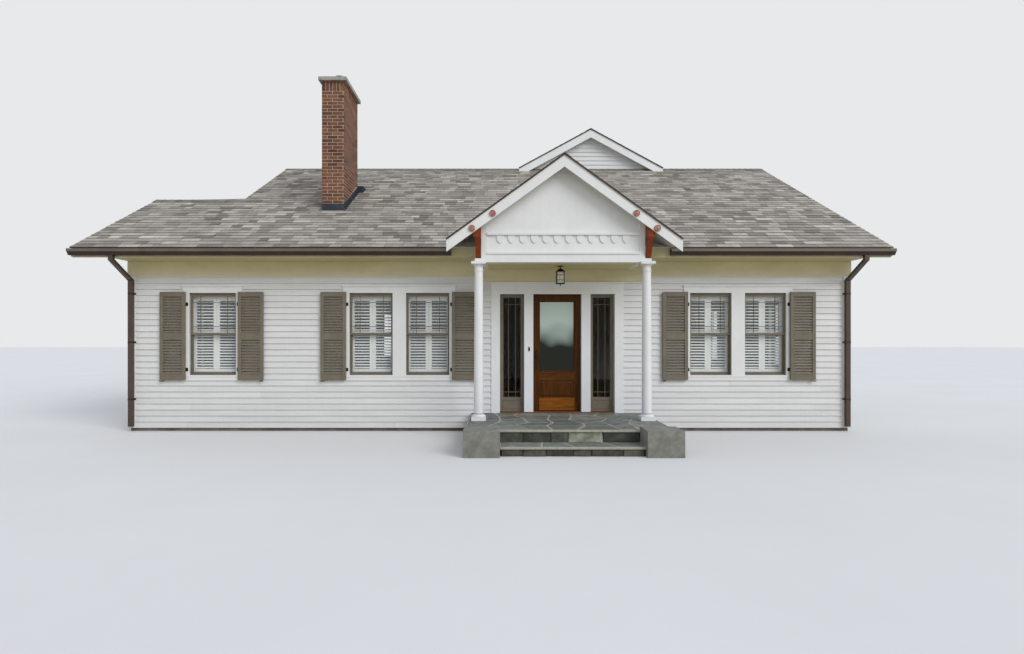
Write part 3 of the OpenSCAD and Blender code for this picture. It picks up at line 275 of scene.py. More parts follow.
@dataclass(frozen=True)
class Pattern:
    """Fixed numbers of the effects: settings of their noises, and the ranges that masks come from."""
    tint_shift: Pair = (37.0, 17.0)
    broad_rough: float = 0.62
    fine_ratio: float = 21.0
    fine_detail: float = 3.0
    fine_rough: float = 0.7
    blend: Pair = (0.36, 0.64)
    height_shares: Pair = (0.45, 0.55)
    streak_stretch: Triple = (11.0, 11.0, 0.55)
    streak_scale: float = 1.3
    streak_detail: float = 4.0
    streak_range: Pair = (0.5, 0.72)
    soil_levels: Pair = (0.02, 0.75)
    soil_patches: Quad = (0.3, 0.7, 0.45, 1)
    plank_gap: float = 0.035
    gap_tone: float = 0.35
    plank_tones: Pair = (0.86, 1.1)


PATTERN = Pattern()
COMMON_INPUTS = (("Colour", "NodeSocketColor", (0.5, 0.5, 0.5, 1)),
                 ("Second", "NodeSocketColor", (0.4, 0.4, 0.4, 1)),
                 ("Scale", "NodeSocketFloat", 3.0), ("Stretch", "NodeSocketVector", (1, 1, 1)),
                 ("Tint", "NodeSocketFloat", 0.5), ("Tint amount", "NodeSocketFloat", 0.0),
                 ("Speckle", "NodeSocketFloat", 0.05), ("Streaks", "NodeSocketFloat", 0.0),
                 ("Soil", "NodeSocketFloat", 0.0), ("Pitch", "NodeSocketFloat", 0.12))


def effect_group(effect: Effect) -> bpy.types.NodeTree:
    """The shared node group of an effect, built the first time that it is asked for.

    Every group takes a first and second colour and puts out a colour, a height and a wear mask.
    The colour moves between the two by a stretched noise, is darkened by a fine speckle, by
    upright rain streaks and by soil near the ground, and is lightened or darkened by the tint
    that each board, tab, brick or stone carries.
    """
    name = effect.value
    if name in bpy.data.node_groups:
        return bpy.data.node_groups[name]
    tree = bpy.data.node_groups.new(name, "ShaderNodeTree")
    for label, kind, value in COMMON_INPUTS:
        tree.interface.new_socket(name=label, in_out="INPUT", socket_type=kind).default_value = value
    for label, kind in (("Colour", "NodeSocketColor"), ("Height", "NodeSocketFloat"),
                        ("Wear", "NodeSocketFloat")):
        tree.interface.new_socket(name=label, in_out="OUTPUT", socket_type=kind)
    n, q, grain = Nodes(tree), PATTERN, effect is Effect.GRAIN
    source = tree.nodes.new("NodeGroupInput").outputs
    target = tree.nodes.new("NodeGroupOutput").inputs
    place = n.add("TexCoord").outputs["Object"]
    stretched = n.vector("MULTIPLY", {0: place, 1: source["Stretch"]})
    shifts = {i: n.times(source["Tint"], shift) for i, shift in enumerate(q.tint_shift)}
    offset = n.add("CombineXYZ", shifts)
    moved = n.vector("ADD", {0: stretched, 1: offset.outputs[0]})
    broad = n.noise(moved, source["Scale"], 8.0 if grain else 5.0, q.broad_rough, 0.9 if grain else 0.1)
    fine = n.noise(moved, n.times(source["Scale"], q.fine_ratio), q.fine_detail, q.fine_rough)
    blend = n.ranged(broad, *q.blend)
    height = n.math("ADD", n.times(broad, q.height_shares[0]), n.times(fine, q.height_shares[1]))
    tinted = n.around(source["Tint"], source["Tint amount"])
    speckled = n.around(fine, source["Speckle"])
    run = n.vector("MULTIPLY", {0: place, 1: q.streak_stretch})
    streak = n.ranged(n.noise(run, q.streak_scale, q.streak_detail), *q.streak_range)
    rained = n.less(1.0, n.times(streak, source["Streaks"]))
    low = n.ranged(n.axis(place, "Z"), *q.soil_levels, 1, 0)
    soiled = n.less(1.0, n.times(n.times(low, source["Soil"]), n.ranged(broad, *q.soil_patches)))
    factor = n.times(n.times(tinted, speckled), n.times(rained, soiled))
    if effect is Effect.PLANKS:
        row = n.math("DIVIDE", n.axis(place, "Y"), source["Pitch"])
        share = n.math("FRACT", row)
        gap = n.ranged(n.math("MINIMUM", share, n.less(1.0, share)), 0.0, q.plank_gap)
        tone = n.add("TexWhiteNoise", {"W": n.math("FLOOR", row)}, noise_dimensions="1D")
        factor = n.times(factor, n.ranged(gap, 0, 1, q.gap_tone, 1))
        factor = n.times(factor, n.ranged(tone.outputs["Value"], 0, 1, *q.plank_tones))
        height = n.times(height, gap)
    mixed = n.mixed(blend, source["Colour"], source["Second"])
    for label, value in (("Colour", n.vector("SCALE", {0: mixed, "Scale": factor})),
                         ("Height", height), ("Wear", blend)):
        n.feed(target[label], value)
    return tree


def new_material(name: str) -> tuple[bpy.types.Material, Nodes, bpy.types.Node]:
    """A new material, the means to add to its nodes, and its main shader."""
    material = bpy.data.materials.new(name)
    material.use_nodes = True
    return material, Nodes(material.node_tree), material.node_tree.nodes["Principled BSDF"]


@dataclass(frozen=True)
class Finish:
    """One finish: two colours written 0 to 255, its gloss and the sizes of its pattern."""
    name: str
    colour: Triple
    second: Triple
    rough: Pair = (0.5, 0.62)
    metallic: float = 0.0
    effect: Effect = Effect.WEATHER
    scale: float = 3.0
    stretch: Triple = (1, 1, 1)
    tint: float = 0.0
    speckle: float = 0.04
    streaks: float = 0.0
    soil: float = 0.0
    pitch: float = 0.12
    bump: float = 0.2
    depth: float = 0.002
    coat: float = 0.0
    specular: float = 0.5
    coat_rough: float = 0.2

    def material(self) -> bpy.types.Material:
        """The finish's material, built once: its group feeds colour, roughness and bump."""
        if self.name in bpy.data.materials:
            return bpy.data.materials[self.name]
        material, n, shader = new_material(self.name)
        inputs = {"Colour": srgb(*self.colour), "Second": srgb(*self.second), "Scale": self.scale,
                  "Stretch": self.stretch, "Tint amount": self.tint, "Speckle": self.speckle,
                  "Streaks": self.streaks, "Soil": self.soil, "Pitch": self.pitch}
        if self.tint:
            inputs["Tint"] = n.add("Attribute", attribute_name="tint",
                                   attribute_type="GEOMETRY").outputs["Fac"]
        group = n.add("Group", inputs, node_tree=effect_group(self.effect)).outputs
        bump = n.add("Bump", {"Strength": self.bump, "Distance": self.depth, "Height": group["Height"]})
        for label, value in (("Base Color", group["Colour"]),
                             ("Roughness", n.ranged(group["Wear"], 0, 1, *self.rough)),
                             ("Normal", bump.outputs["Normal"]), ("Metallic", self.metallic),
                             ("Specular IOR Level", self.specular), ("Coat Weight", self.coat),
                             ("Coat Roughness", self.coat_rough)):
            n.feed(shader.inputs[label], value)
        return material


@dataclass(frozen=True)
class Glass:
    """Clear window glass with a faint roll in its surface, which lets lamp light straight through.

    With a painted reflection, its colour rises from dark to pale with the height: a reflected street
    painted into the glass's colour.
    """
    name: str = "window_glass"
    painted_reflection: bool = False
    rough: float = 0.02
    clear: Quad = (0.97, 0.985, 0.98, 1)
    roll_scale: float = 2.2
    roll_bump: Pair = (0.12, 0.002)
    reflection_z: float = 1.75
    reflection_gain: float = 2.5
    reflection_dark: Quad = (0.012, 0.017, 0.006, 1)
    reflection_pale: Quad = (0.60, 0.72, 0.67, 1)

    def material(self) -> bpy.types.Material:
        """The glass material, built once."""
        if self.name in bpy.data.materials:
            return bpy.data.materials[self.name]
        material, n, shader = new_material(self.name)
        place = n.add("TexCoord").outputs["Object"]
        roll = n.noise(place, self.roll_scale, 1.0)
        strength, depth = self.roll_bump
        bump = n.add("Bump", {"Strength": strength, "Distance": depth, "Height": roll})
        values = {"Base Color": self.clear, "Roughness": self.rough, "IOR": 1.5,
                  "Transmission Weight": 1.0, "Normal": bump.outputs["Normal"]}
        # Painted reflection: the base colour rises from dark to pale up the glass, and the glass is made
        # mostly opaque.
        if self.painted_reflection:
            height = n.math("ADD", n.axis(place, "Z"), n.times(roll, 0.5))
            ramp = n.add("ValToRGB", {0: n.times(n.less(height, self.reflection_z), self.reflection_gain)})
            ramp.color_ramp.elements[0].color = self.reflection_dark
            ramp.color_ramp.elements[1].color = self.reflection_pale
            values |= {"Base Color": ramp.outputs[0], "Transmission Weight": 0.2,
                       "Specular IOR Level": 0.2}
        for label, value in values.items():
            n.feed(shader.inputs[label], value)
        path = n.add("LightPath").outputs
        lamp = n.math("MAXIMUM", path["Is Shadow Ray"], path["Is Diffuse Ray"])
        through = n.add("BsdfTransparent", {"Color": self.clear})
        mix = n.add("MixShader", {0: lamp, 1: shader.outputs[0], 2: through.outputs[0]})
        n.feed(material.node_tree.nodes["Material Output"].inputs[0], mix.outputs[0])
        return material


SIDING = Finish("white_siding", (224, 225, 228), (217, 218, 220), (0.42, 0.55), scale=1.6,
                stretch=(0.5, 0.5, 4), tint=0.022, speckle=0.015, streaks=0.025, soil=0.08, bump=0.12)
WALL = Finish("painted_wall", (205, 206, 207), (197, 197, 196), (0.5, 0.62), scale=2.0, soil=0.1,
              bump=0.1)
TRIM = Finish("white_trim_paint", (237, 239, 242), (230, 232, 235), (0.32, 0.46), scale=2.4,
              tint=0.02, speckle=0.012, streaks=0.02, soil=0.05, bump=0.1, coat=0.12)
CEILING = Finish("ceiling_boards", (218, 207, 164), (206, 195, 152), (0.4, 0.55), scale=2.6,
                 stretch=(0.6, 5, 1), tint=0.04, speckle=0.02, bump=0.12)
TAUPE = Finish("taupe_shutter_paint", (122, 114, 101), (112, 104, 91), (0.4, 0.55), scale=4.0,
               speckle=0.03, streaks=0.05, bump=0.15, specular=0.35)
SHINGLES = Finish("asphalt_shingles", (172, 166, 158), (136, 130, 122), (0.82, 0.95), scale=1.3,
                  tint=0.42, speckle=0.20, bump=0.6, depth=0.003)
RIDGE = Finish("ridge_shingles", (128, 122, 116), (104, 99, 94), (0.82, 0.95), scale=2.3,
               tint=0.16, speckle=0.2, bump=0.6, depth=0.003)
FELT = Finish("roofing_felt", (50, 47, 45), (38, 36, 35), (0.8, 0.95), scale=6, speckle=0.15, bump=0.4)
# Painted light: a lighter copy of the gutters' brown, which stands in for the light on the downspouts.
SPOUT_LIT = Finish("downspout_metal_painted_light", (82, 66, 58), (70, 55, 48), (0.3, 0.48), metallic=0.2, scale=5,
               speckle=0.05, bump=0.2)
GUTTER = Finish("brown_gutter_metal", (54, 40, 32), (44, 32, 26), (0.3, 0.48), metallic=0.25,
                scale=3.0, speckle=0.04, streaks=0.18, bump=0.1)
# Painted highlight: a lighter brown for the strip that stands in for the light on the gutters' upper
# lip.
GUTTER_LIP_HIGHLIGHT = Finish("gutter_lip_painted_highlight", (110, 98, 87), (98, 87, 76), (0.3, 0.45), metallic=0.2, scale=3.0,
             speckle=0.04, bump=0.1)
IRON = Finish("black_iron", (26, 25, 25), (38, 35, 32), (0.35, 0.6), metallic=0.6, scale=30,
              speckle=0.1, bump=0.3, depth=0.0006)
FLASHING = Finish("blue_flashing", (62, 70, 82), (48, 54, 63), (0.35, 0.6), metallic=0.5, scale=7,
                  speckle=0.08, streaks=0.2, bump=0.25)
MORTAR = Finish("pale_mortar", (196, 184, 168), (172, 160, 145), (0.85, 0.95), scale=14,
                speckle=0.16, bump=0.7, depth=0.003)
BRICK = Finish("red_brick", (126, 82, 60), (98, 62, 45), (0.75, 0.92), scale=12, tint=0.45,
               speckle=0.18, bump=0.7, depth=0.003)
CONCRETE = Finish("cap_concrete", (172, 168, 162), (140, 136, 130), (0.75, 0.9), scale=7,
                  speckle=0.12, streaks=0.2, bump=0.5, depth=0.003)
FOUNDATION = Finish("foundation_render", (140, 136, 130), (112, 108, 102), (0.8, 0.92), scale=4,
                    speckle=0.12, soil=0.35, bump=0.5, depth=0.004)
BLUESTONE = Finish("bluestone_flags", (124, 129, 124), (98, 103, 100), (0.5, 0.78), scale=6, tint=0.26,
                   speckle=0.16, bump=0.7, depth=0.005)
RISER = Finish("riser_stone", (86, 88, 78), (58, 60, 52), (0.6, 0.85), scale=7, tint=0.34,
               speckle=0.18, bump=0.9, depth=0.008)
JOINT = Finish("stone_mortar", (180, 175, 165), (158, 153, 143), (0.85, 0.95), scale=16,
               speckle=0.16, bump=0.6, depth=0.003)
BED = replace(JOINT, name="dark_mortar", colour=(92, 90, 84), second=(70, 68, 62))
BLOCK = Finish("grey_block", (144, 144, 139), (124, 124, 120), (0.75, 0.9), scale=9,
               speckle=0.14, soil=0.12, bump=0.55, depth=0.004)
THRESHOLD = Finish("oak_threshold", (128, 84, 46), (92, 56, 28), (0.4, 0.6), effect=Effect.GRAIN,
                   scale=7, stretch=(0.35, 3, 3), speckle=0.1, bump=0.3)
DOOR = Finish("stained_door", (88, 50, 14), (62, 34, 8), (0.4, 0.55), effect=Effect.GRAIN, scale=6,
              stretch=(5, 5, 0.35), speckle=0.1, bump=0.2, depth=0.001, specular=0.12)
# Painted light: a lighter copy of the door's stain for its rails and raised fields; with its tint the
# bottom rail is lifted brightest.
DOOR_PANELS_LIT = replace(DOOR, name="door_panels_painted_light", colour=(124, 73, 17), second=(86, 48, 8),
                    stretch=(0.35, 5, 5), tint=0.45, specular=0.15)
BRACKET = replace(DOOR, name="bracket_timber", colour=(142, 66, 30), second=(112, 48, 20), scale=7,
                  stretch=(5, 5, 0.4), bump=0.25, specular=0.2)
ROSETTE = Finish("rosette_timber", (176, 128, 116), (146, 98, 86), (0.4, 0.6), scale=18,
                 speckle=0.1, bump=0.3)
OAK = Finish("oak_boards", (150, 112, 74), (116, 82, 50), (0.35, 0.5), effect=Effect.PLANKS, scale=4,
             stretch=(0.5, 9, 1), speckle=0.08, pitch=0.083, bump=0.25)
SOFFIT = Finish("soffit_boards", (213, 204, 169), (201, 192, 156), (0.45, 0.6), effect=Effect.PLANKS,
                scale=3, stretch=(0.5, 4, 1), speckle=0.02, pitch=0.13, bump=0.2)
# Partly painted shade: a lighter copy of the soffit's cream, whose warm tint stands in for the shade
# under the eaves.
FRIEZE_SHADE = replace(SOFFIT, name="frieze_boards_painted_shade", colour=(222, 214, 184), second=(211, 203, 171))
PLANTATION = Finish("white_inner_shutters", (236, 237, 237), (229, 230, 230), (0.35, 0.5), scale=3,
                    speckle=0.012, bump=0.08)
CANDLE = Finish("candle_sleeve", (232, 226, 206), (220, 212, 190), (0.5, 0.6), scale=12, bump=0.1)
GLASS = Glass()
# The door's glass carries a painted reflection of the street.
DOOR_GLASS_REFLECTION = Glass("door_glass_painted_reflection", painted_reflection=True)


# Mesh making

# Corners of a solid's six faces, and which corners of a box are high in x, y and z
RING = np.array([[0, 3, 2, 1], [4, 5, 6, 7], [0, 1, 5, 4], [1, 2, 6, 5], [2, 3, 7, 6], [3, 0, 4, 7]])
CUBE = np.array([[0, 0, 0], [1, 0, 0], [1, 1, 0], [0, 1, 0], [0, 0, 1], [1, 0, 1], [1, 1, 1], [0, 1, 1]],
                bool)


class Mesh:
    """Gathers many small solids and surfaces, as whole arrays, into the mesh of one piece."""

    def __init__(self) -> None:
        """Starts empty."""
        self.points: list[ARRAY] = []
        self.faces: list[ARRAY] = []
        self.tints: list[ARRAY] = []
        self.total = 0

    def add(self, points: ARRAY, faces: ARRAY, tints: ARRAY | float = 0.5) -> None:
        """Adds points (n, 3), faces (m, 4) that count from the first of them, and a tint each."""
        points = np.asarray(points, float).reshape(-1, 3)
        self.points.append(points)
        self.faces.append(np.asarray(faces, int) + self.total)
        self.tints.append(np.broadcast_to(np.asarray(tints, float), (len(points),)))
        self.total += len(points)

    def solids(self, corners: ARRAY, tints: ARRAY | float = 0.5) -> None:
        """Adds six-sided solids.

        Each has a ring of four corners and the ring above it. Where the edges from its first corner
        make a left-handed set the rings are turned round, so that every face looks outwards.

        Args:
            corners: array (n, 8, 3) of corner points.
            tints: one value for each solid, or one for all.
        """
        corners = np.asarray(corners, float).reshape(-1, 8, 3).copy()
        edges = corners[:, [1, 3, 4]] - corners[:, :1]
        left = np.einsum("ij,ij->i", np.cross(edges[:, 0], edges[:, 1]), edges[:, 2]) < 0
        corners[left] = corners[left][:, [3, 2, 1, 0, 7, 6, 5, 4]]
        start = np.arange(len(corners))[:, None, None] * 8
        tints = np.repeat(np.broadcast_to(np.asarray(tints, float), (len(corners),)), 8)
        self.add(corners, (RING[None] + start).reshape(-1, 4), tints)

    def boxes(self, low: ROWS, high: ROWS, tints: ARRAY | float = 0.5,
              place: Place | None = None) -> None:
        """Adds boxes.

        Args:
            low, high: opposite corners of each, one row or more.
            tints: one value for each box, or one for all.
            place: turns the corners into house coordinates, or nothing.
        """
        ends = np.broadcast_arrays(*(np.atleast_2d(np.asarray(v, float)) for v in (low, high)))
        corners = np.where(CUBE[None], np.maximum(*ends)[:, None], np.minimum(*ends)[:, None])
        self.solids(place(corners) if place else corners, tints)

    def slab(self, ring: ROWS, rise: ROWS) -> None:
        """Adds a solid between a ring of four corners and the same ring moved by rise."""
        self.solids(np.concatenate([ring, np.asarray(ring) + rise]))

    def sheet(self, points: ARRAY, wrap_u: bool = False, wrap_v: bool = False,
              tint: float = 0.5) -> None:
        """A surface on a grid of points (u, v, 3); wrap joins its last row or column to its first."""
        rows, cols = points.shape[:2]
        u = np.arange(rows if wrap_u else rows - 1)
        v = np.arange(cols if wrap_v else cols - 1)
        a, b = np.meshgrid(u, v, indexing="ij")
        c, d = (a + 1) % rows, (b + 1) % cols
        faces = np.stack([a * cols + b, c * cols + b, c * cols + d, a * cols + d], -1).reshape(-1, 4)
        self.add(points, faces, tint)

    def turned(self, profile: ROWS, centre: tuple, axis: int = 2, sides: int = 24,
               tint: float = 0.5) -> None:
        """Adds a turned solid: the profile (radius, height) carried round an axis through centre.

        A point is centre plus height along the axis plus radius times the cosine and sine of the
        turn across it. The profile starts and ends at radius 0, which closes the poles.

        Args:
            profile: array (m, 2).
            centre: the point that heights count from.
            axis: 0, 1 or 2 for x, y or z.
            sides: number of steps round the axis.
            tint: the solid's tint.
        """
        profile = np.asarray(profile, float)
        turn = np.arange(sides) * 2 * np.pi / sides
        out = np.zeros((sides, len(profile), 3))
        first, second = (axis + 1) % 3, (axis + 2) % 3
        out[..., first] = np.cos(turn)[:, None] * profile[:, 0]
        out[..., second] = np.sin(turn)[:, None] * profile[:, 0]
        out[..., axis] = profile[:, 1]
        self.sheet(out + np.asarray(centre, float), wrap_u=True, tint=tint)

    def moulding(self, low: tuple, high: tuple, profile: ROWS, y: float, outward: float,
                 place=None, tint: float = 0.5) -> None:
        """Adds a mitred moulding round an upright rectangle.

        The closed profile is (distance in from the rectangle's edge, stand from the plane y). Each
        of its points is carried round the four corners, moved in along both edges by its distance.

        Args:
            low, high: the rectangle's lowest and highest (x, z).
            profile: array (m, 2).
            y: the plane that the moulding stands on.
            outward: -1 where it stands towards the front, 1 where it stands inwards.
            place: turns the points into house coordinates, or nothing.
        """
        profile = np.asarray(profile, float)
        inward = np.array([[1, 1], [-1, 1], [-1, -1], [1, -1]], float)
        corner = np.array([[low[0], low[1]], [high[0], low[1]], [high[0], high[1]], [low[0], high[1]]])
        xz = corner[:, None] + inward[:, None] * profile[None, :, :1]
        depth = np.broadcast_to(y + outward * profile[None, :, 1], xz.shape[:2])
        points = np.stack([xz[..., 0], depth, xz[..., 1]], -1)
        self.sheet(place(points) if place else points, wrap_u=True, wrap_v=True, tint=tint)

    def both_faces(self, low: tuple, high: tuple, profile: ROWS, y: float, half: float,
                   place: Place | None = None) -> None:
        """Adds a moulding on each face of a pane, half its thickness from the middle plane y."""
        for sign in (-1, 1):
            self.moulding(low, high, profile, y + sign * half, sign, place)

    def build(self, name: str, finish: Finish | Glass, slot: str, body: str = "house",
              bevel: float = 0.0, smooth: bool = False, outward: bool = False) -> bpy.types.Object:
        """Makes the piece, dresses it and lets it ride on a body.

        Args:
            name: the piece's name.
            finish: what it is dressed in.
            slot: the record's material slot; not used.
            body: the body that carries it.
            bevel: width of a bevel on its edges, or 0.
            smooth: smooth shading under 40 degrees.
            outward: recalculates the normals of closed surfaces.
        Returns:
            The new object.
        """
        points = np.concatenate(self.points) - np.array([PLAN.centre_x, PLAN.centre_y, 0])
        data = bpy.data.meshes.new(name)
        data.from_pydata(points.tolist(), [], np.concatenate(self.faces).tolist())
        tint = data.attributes.new("tint", "FLOAT", "POINT")
        tint.data.foreach_set("value", np.concatenate(self.tints).astype(np.float32))
        piece = bpy.data.objects.new(name, data)
        bpy.context.scene.collection.objects.link(piece)
        if outward:
            work = bmesh.new()
            work.from_mesh(data)
            bmesh.ops.remove_doubles(work, verts=work.verts, dist=1e-6)
            bmesh.ops.recalc_face_normals(work, faces=work.faces)
            work.to_mesh(data)
            work.free()
        if bevel:
            edge = piece.modifiers.new("edges", "BEVEL")
            edge.width, edge.segments, edge.limit_method = bevel, 1, "ANGLE"
        if smooth:
            data.shade_smooth()
            data.set_sharp_from_angle(angle=math.radians(40))
        data.materials.append(finish.material())
        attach(piece, body)
        LOG.info("piece %s: %d faces", name, len(data.polygons))
        return piece


def dress(finish: Finish | Glass, *nodes: str) -> None:
    """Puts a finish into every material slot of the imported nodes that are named."""
    material = finish.material()
    for node in nodes:
        slots = frame["nodes"][node].data.materials
        if not len(slots):
            slots.append(material)
        for i in range(len(slots)):
            slots[i] = material
        LOG.info("node %s: %s", node, finish.name)


# Lap siding

@dataclass(frozen=True)
class Wall:
    """A boarded wall face.

    Its boards run along a level line from origin. The two sides of its outline are (height,
    distance) pairs, joined by straight lines, and its holes are (start, end, low, high).
    """
    origin: Pair
    along: Pair
    outward: Pair
    start: tuple[Pair, ...]
    end: tuple[Pair, ...]
    holes: tuple[Quad, ...] = ()

    def spans(self, low: float, high: float) -> list[Quad]:
        """Free stretches of the wall between two heights.

        Args:
            low, high: the two heights.
        Returns:
            Each stretch's start and end at the low height, then at the high one.
        """
        edge = []
        for z in (low + 1e-5, high - 1e-5):
            edge.append([float(np.interp(z, *np.array(side).T)) for side in (self.start, self.end)])
        spans = [(edge[0][0], edge[0][1], edge[1][0], edge[1][1])]
        for a, b, z0, z1 in self.holes:
            if z1 <= low + 1e-6 or z0 >= high - 1e-6:
                continue
            cut = []
            for s0, e0, s1, e1 in spans:
                if e0 <= a or s0 >= b:
                    cut.append((s0, e0, s1, e1))
                    continue
                if s0 < a:
                    cut.append((s0, a, min(s1, a), a))
                if e0 > b:
                    cut.append((b, e0, b, max(e1, b)))
            spans = cut
        return [s for s in spans if s[1] - s[0] > 0.004]


@dataclass
class LapSiding:
    """Bevelled boards on every wall face: each is thick at its foot and thin at its head.

    Entry cuts are (half width, lowest, highest) of what stands against the wall at the entrance.
    The frieze boards' back, thin and thick faces stand frieze_t from the wall; over the entrance
    they reach a first and a second length to its left and right, from a lowest to a highest level.
    Their cream tint and their low reach over the entrance are painted shade, for the warm shade
    under the eaves and the porch.
    """
    exposure: float = 0.106
    foot: float = 0.021
    head: float = 0.003
    longest: float = 3.66
    gap: float = 0.0015
    least: float = 0.3
    box_y: float = -0.50
    casing_play: float = 0.002
    cap_play: float = 0.014
    apron: float = 0.099
    cap_top: float = 0.136
    entry_cuts: tuple[Triple, ...] = (
        (1.167, 0, 2.60), (1.182, 2.60, 2.627), (1.3152, 2.85, 2.99))
    frieze_half: float = 1.3172
    frieze_z: float = 2.73
    frieze_t: Triple = (0.003, 0.0245, 0.028)
    frieze_end: float = 0.024
    entry_painted_shade: Quad = (1.40, 1.58, 2.632, 2.849)
    rng: np.random.Generator = field(default_factory=lambda: np.random.default_rng(SEED))

    def window_holes(self, groups: tuple[WindowGroup, ...], along_x: bool) -> tuple:
        """Rectangles that the casings, the boards under the sills and the drip caps take up.

        Args:
            groups: the wall's windows.
            along_x: whether the wall runs along x.
        Returns:
            Two holes (start, end, low, high) for each group.
        """
        out = []
        for g in groups:
            middle, side, head = (g.x if along_x else g.y), g.half + g.casing, g.head + g.casing
            for play, low, high in ((self.casing_play, g.sill - self.apron, head),
                                    (self.cap_play, head, g.head + self.cap_top)):
                out.append((middle - side - play, middle + side + play, low, high))
        return tuple(out)

    def walls(self) -> list[Wall]:
        """Every boarded face of the house."""
        p, windows = PLAN, self.window_holes
        c, top, low = p.corner, p.soffit_z, p.ground_z
        box, over = self.box_y, p.under_z(self.box_y)

        def upright(first: float, last: float) -> tuple:
            """The two sides of a wall that is level at its top."""
            return tuple(((low, u), (top, u)) for u in (first, last))

        def gable(depth: float) -> tuple:
            """The two sides of a gable wall with its boxed eaves, mirrored about its middle."""
            start = ((low, c), (top, c), (top + 0.001, box), (over, box),
                     (p.under_z(depth / 2), depth / 2))
            return start, tuple((z, depth - u) for z, u in start)

        entry = tuple((p.entry_x - half, p.entry_x + half, z0, z1) for half, z0, z1 in (
            (p.landing_w / 2, 0, p.floor_z + 0.002), *self.entry_cuts))
        wing_y, right = p.wing_d + 0.015, p.main_x1 - c
        meet_y = (p.wing_d * p.pitch + p.roof_t) / (2 * p.pitch)
        over_wing = ((low, wing_y), (p.eave_z, wing_y), (p.eave_z + 0.001, p.wing_d + p.reach - 0.02),
                     (p.under_z(meet_y), meet_y), (p.under_z(p.main_d / 2), p.main_d / 2))
        return [
            Wall((0, 0), (1, 0), (0, -1), *upright(c, right), windows(FRONT_WINDOWS, True) + entry),
            Wall((0, p.main_d), (1, 0), (0, 1), *upright(p.main_x0 + c, right),
                 windows(REAR_WINDOWS, True)),
            Wall((p.main_x1, 0), (0, 1), (1, 0), *gable(p.main_d), windows(RIGHT_WINDOWS, False)),
            Wall((p.main_x0, 0), (0, 1), (-1, 0), over_wing, gable(p.main_d)[1],
                 windows((LEFT_WINDOW,), False)),
            Wall((0, 0), (0, 1), (-1, 0), *gable(p.wing_d), windows((WING_WINDOW,), False)),
            Wall((0, p.wing_d), (1, 0), (0, 1), *upright(c, p.main_x0 - 0.002)),
            *self.attic_walls()]

    def attic_walls(self) -> list[Wall]:
        """The four faces of the rear attic gable, above the main roof's surface."""
        p = PLAN
        side_top = p.attic_apex - p.attic_pitch * p.attic_half - p.attic_roof_t
        peak = p.attic_apex - p.attic_roof_t
        x0, x1 = p.attic_x - p.attic_half, p.attic_x + p.attic_half
        foot = p.roof_z(p.main_d - p.attic_y)
        start = ((foot, x0), (side_top, x0), (peak, p.attic_x))
        end = ((foot, x1), (side_top, x1), (peak, p.attic_x))
        back = Wall((0, p.attic_y), (1, 0), (0, 1), start, end, self.window_holes((ATTIC_WINDOW,), True))
        ridge = p.roof_z(p.main_d / 2)
        half = (peak - ridge) / p.attic_pitch
        face = Wall((0, p.main_d / 2), (1, 0), (0, -1), ((ridge, p.attic_x - half), (peak, p.attic_x)),
                    ((ridge, p.attic_x + half), (peak, p.attic_x)))
        top_y = p.main_d - (side_top - p.wall_z) / p.pitch
        slant = ((foot, p.attic_y), (side_top, top_y))
        upright = ((foot, p.attic_y + 0.01), (side_top, p.attic_y + 0.01))
        sides = [Wall((x, 0), (0, 1), (turn, 0), slant, upright) for x, turn in ((x0, -1), (x1, 1))]
        return [back, face] + sides

    def board(self, wall: Wall, mesh: Mesh) -> None:
        """Boards one wall face from its foot to its top.

        A course that meets a bend of the outline or an edge of a hole is cut into bands there. A
        board's stand from the wall falls evenly from its foot to its head.

        Args:
            wall: the face.
            mesh: what the boards go into.
        """
        low, high = max(wall.start[0][0], wall.end[0][0]), min(wall.start[-1][0], wall.end[-1][0])
        for k in range(math.ceil((high - low) / self.exposure)):
            z0 = low + k * self.exposure
            z1 = min(z0 + self.exposure, high)
            marks = [z for z, _ in wall.start + wall.end] + [z for h in wall.holes for z in h[2:]]
            cuts = sorted({z0, z1} | {z for z in marks if z0 + 1e-4 < z < z1 - 1e-4})
            phase, tone = self.rng.uniform(0, self.longest), self.rng.uniform(0, 1, 8)
            for a, b in zip(cuts, cuts[1:]):
                stand = [self.foot + (self.head - self.foot) * (z - z0) / self.exposure for z in (a, b)]
                for span in wall.spans(a, b):
                    self.stretch(wall, mesh, span, (a, b), stand, phase, tone)

    def stretch(self, wall: Wall, mesh: Mesh, span: tuple, levels: tuple, stand: list, phase: float,
                tone: ARRAY) -> None:
        """Fills one free stretch with boards that meet at butt joints no further apart than a board.

        Args:
            wall: the face that is boarded.
            mesh: what the boards go into.
            span: the stretch's start and end at its foot, then at its head.
            levels: its lower and upper height.
            stand: how far the boards stand from the wall at these heights.
            phase: where the first joint of the course would fall.
            tone: eight tints that the boards take in turn.
        """
        s0, e0, s1, e1 = span
        first = math.ceil((max(s0, s1) - phase) / self.longest)
        joints = [phase + i * self.longest for i in range(first, first + 5)]
        joints = [j for j in joints if max(s0, s1) + self.least < j < min(e0, e1) - self.least]
        rows = [s0, *joints, e0], [s1, *joints, e1]
        for i in range(len(joints) + 1):
            trim0 = self.gap / 2 if i else 0
            trim1 = self.gap / 2 if i < len(joints) else 0
            mesh.solids([(wall.origin[0] + wall.along[0] * u + wall.outward[0] * n,
                          wall.origin[1] + wall.along[1] * u + wall.outward[1] * n, level)
                         for row, level, out in zip(rows, levels, stand)
                         for u, n in ((row[i] + trim0, 0), (row[i + 1] - trim1, 0),
                                      (row[i + 1] - trim1, out), (row[i] + trim0, out))], tone[i % 8])

    def build(self) -> None:
        """Makes the boards of all walls as one piece, and the boards under the front eave."""
        mesh = Mesh()
        for wall in self.walls():
            self.board(wall, mesh)
        mesh.build("siding_boards", SIDING, "siding")
        self.frieze()

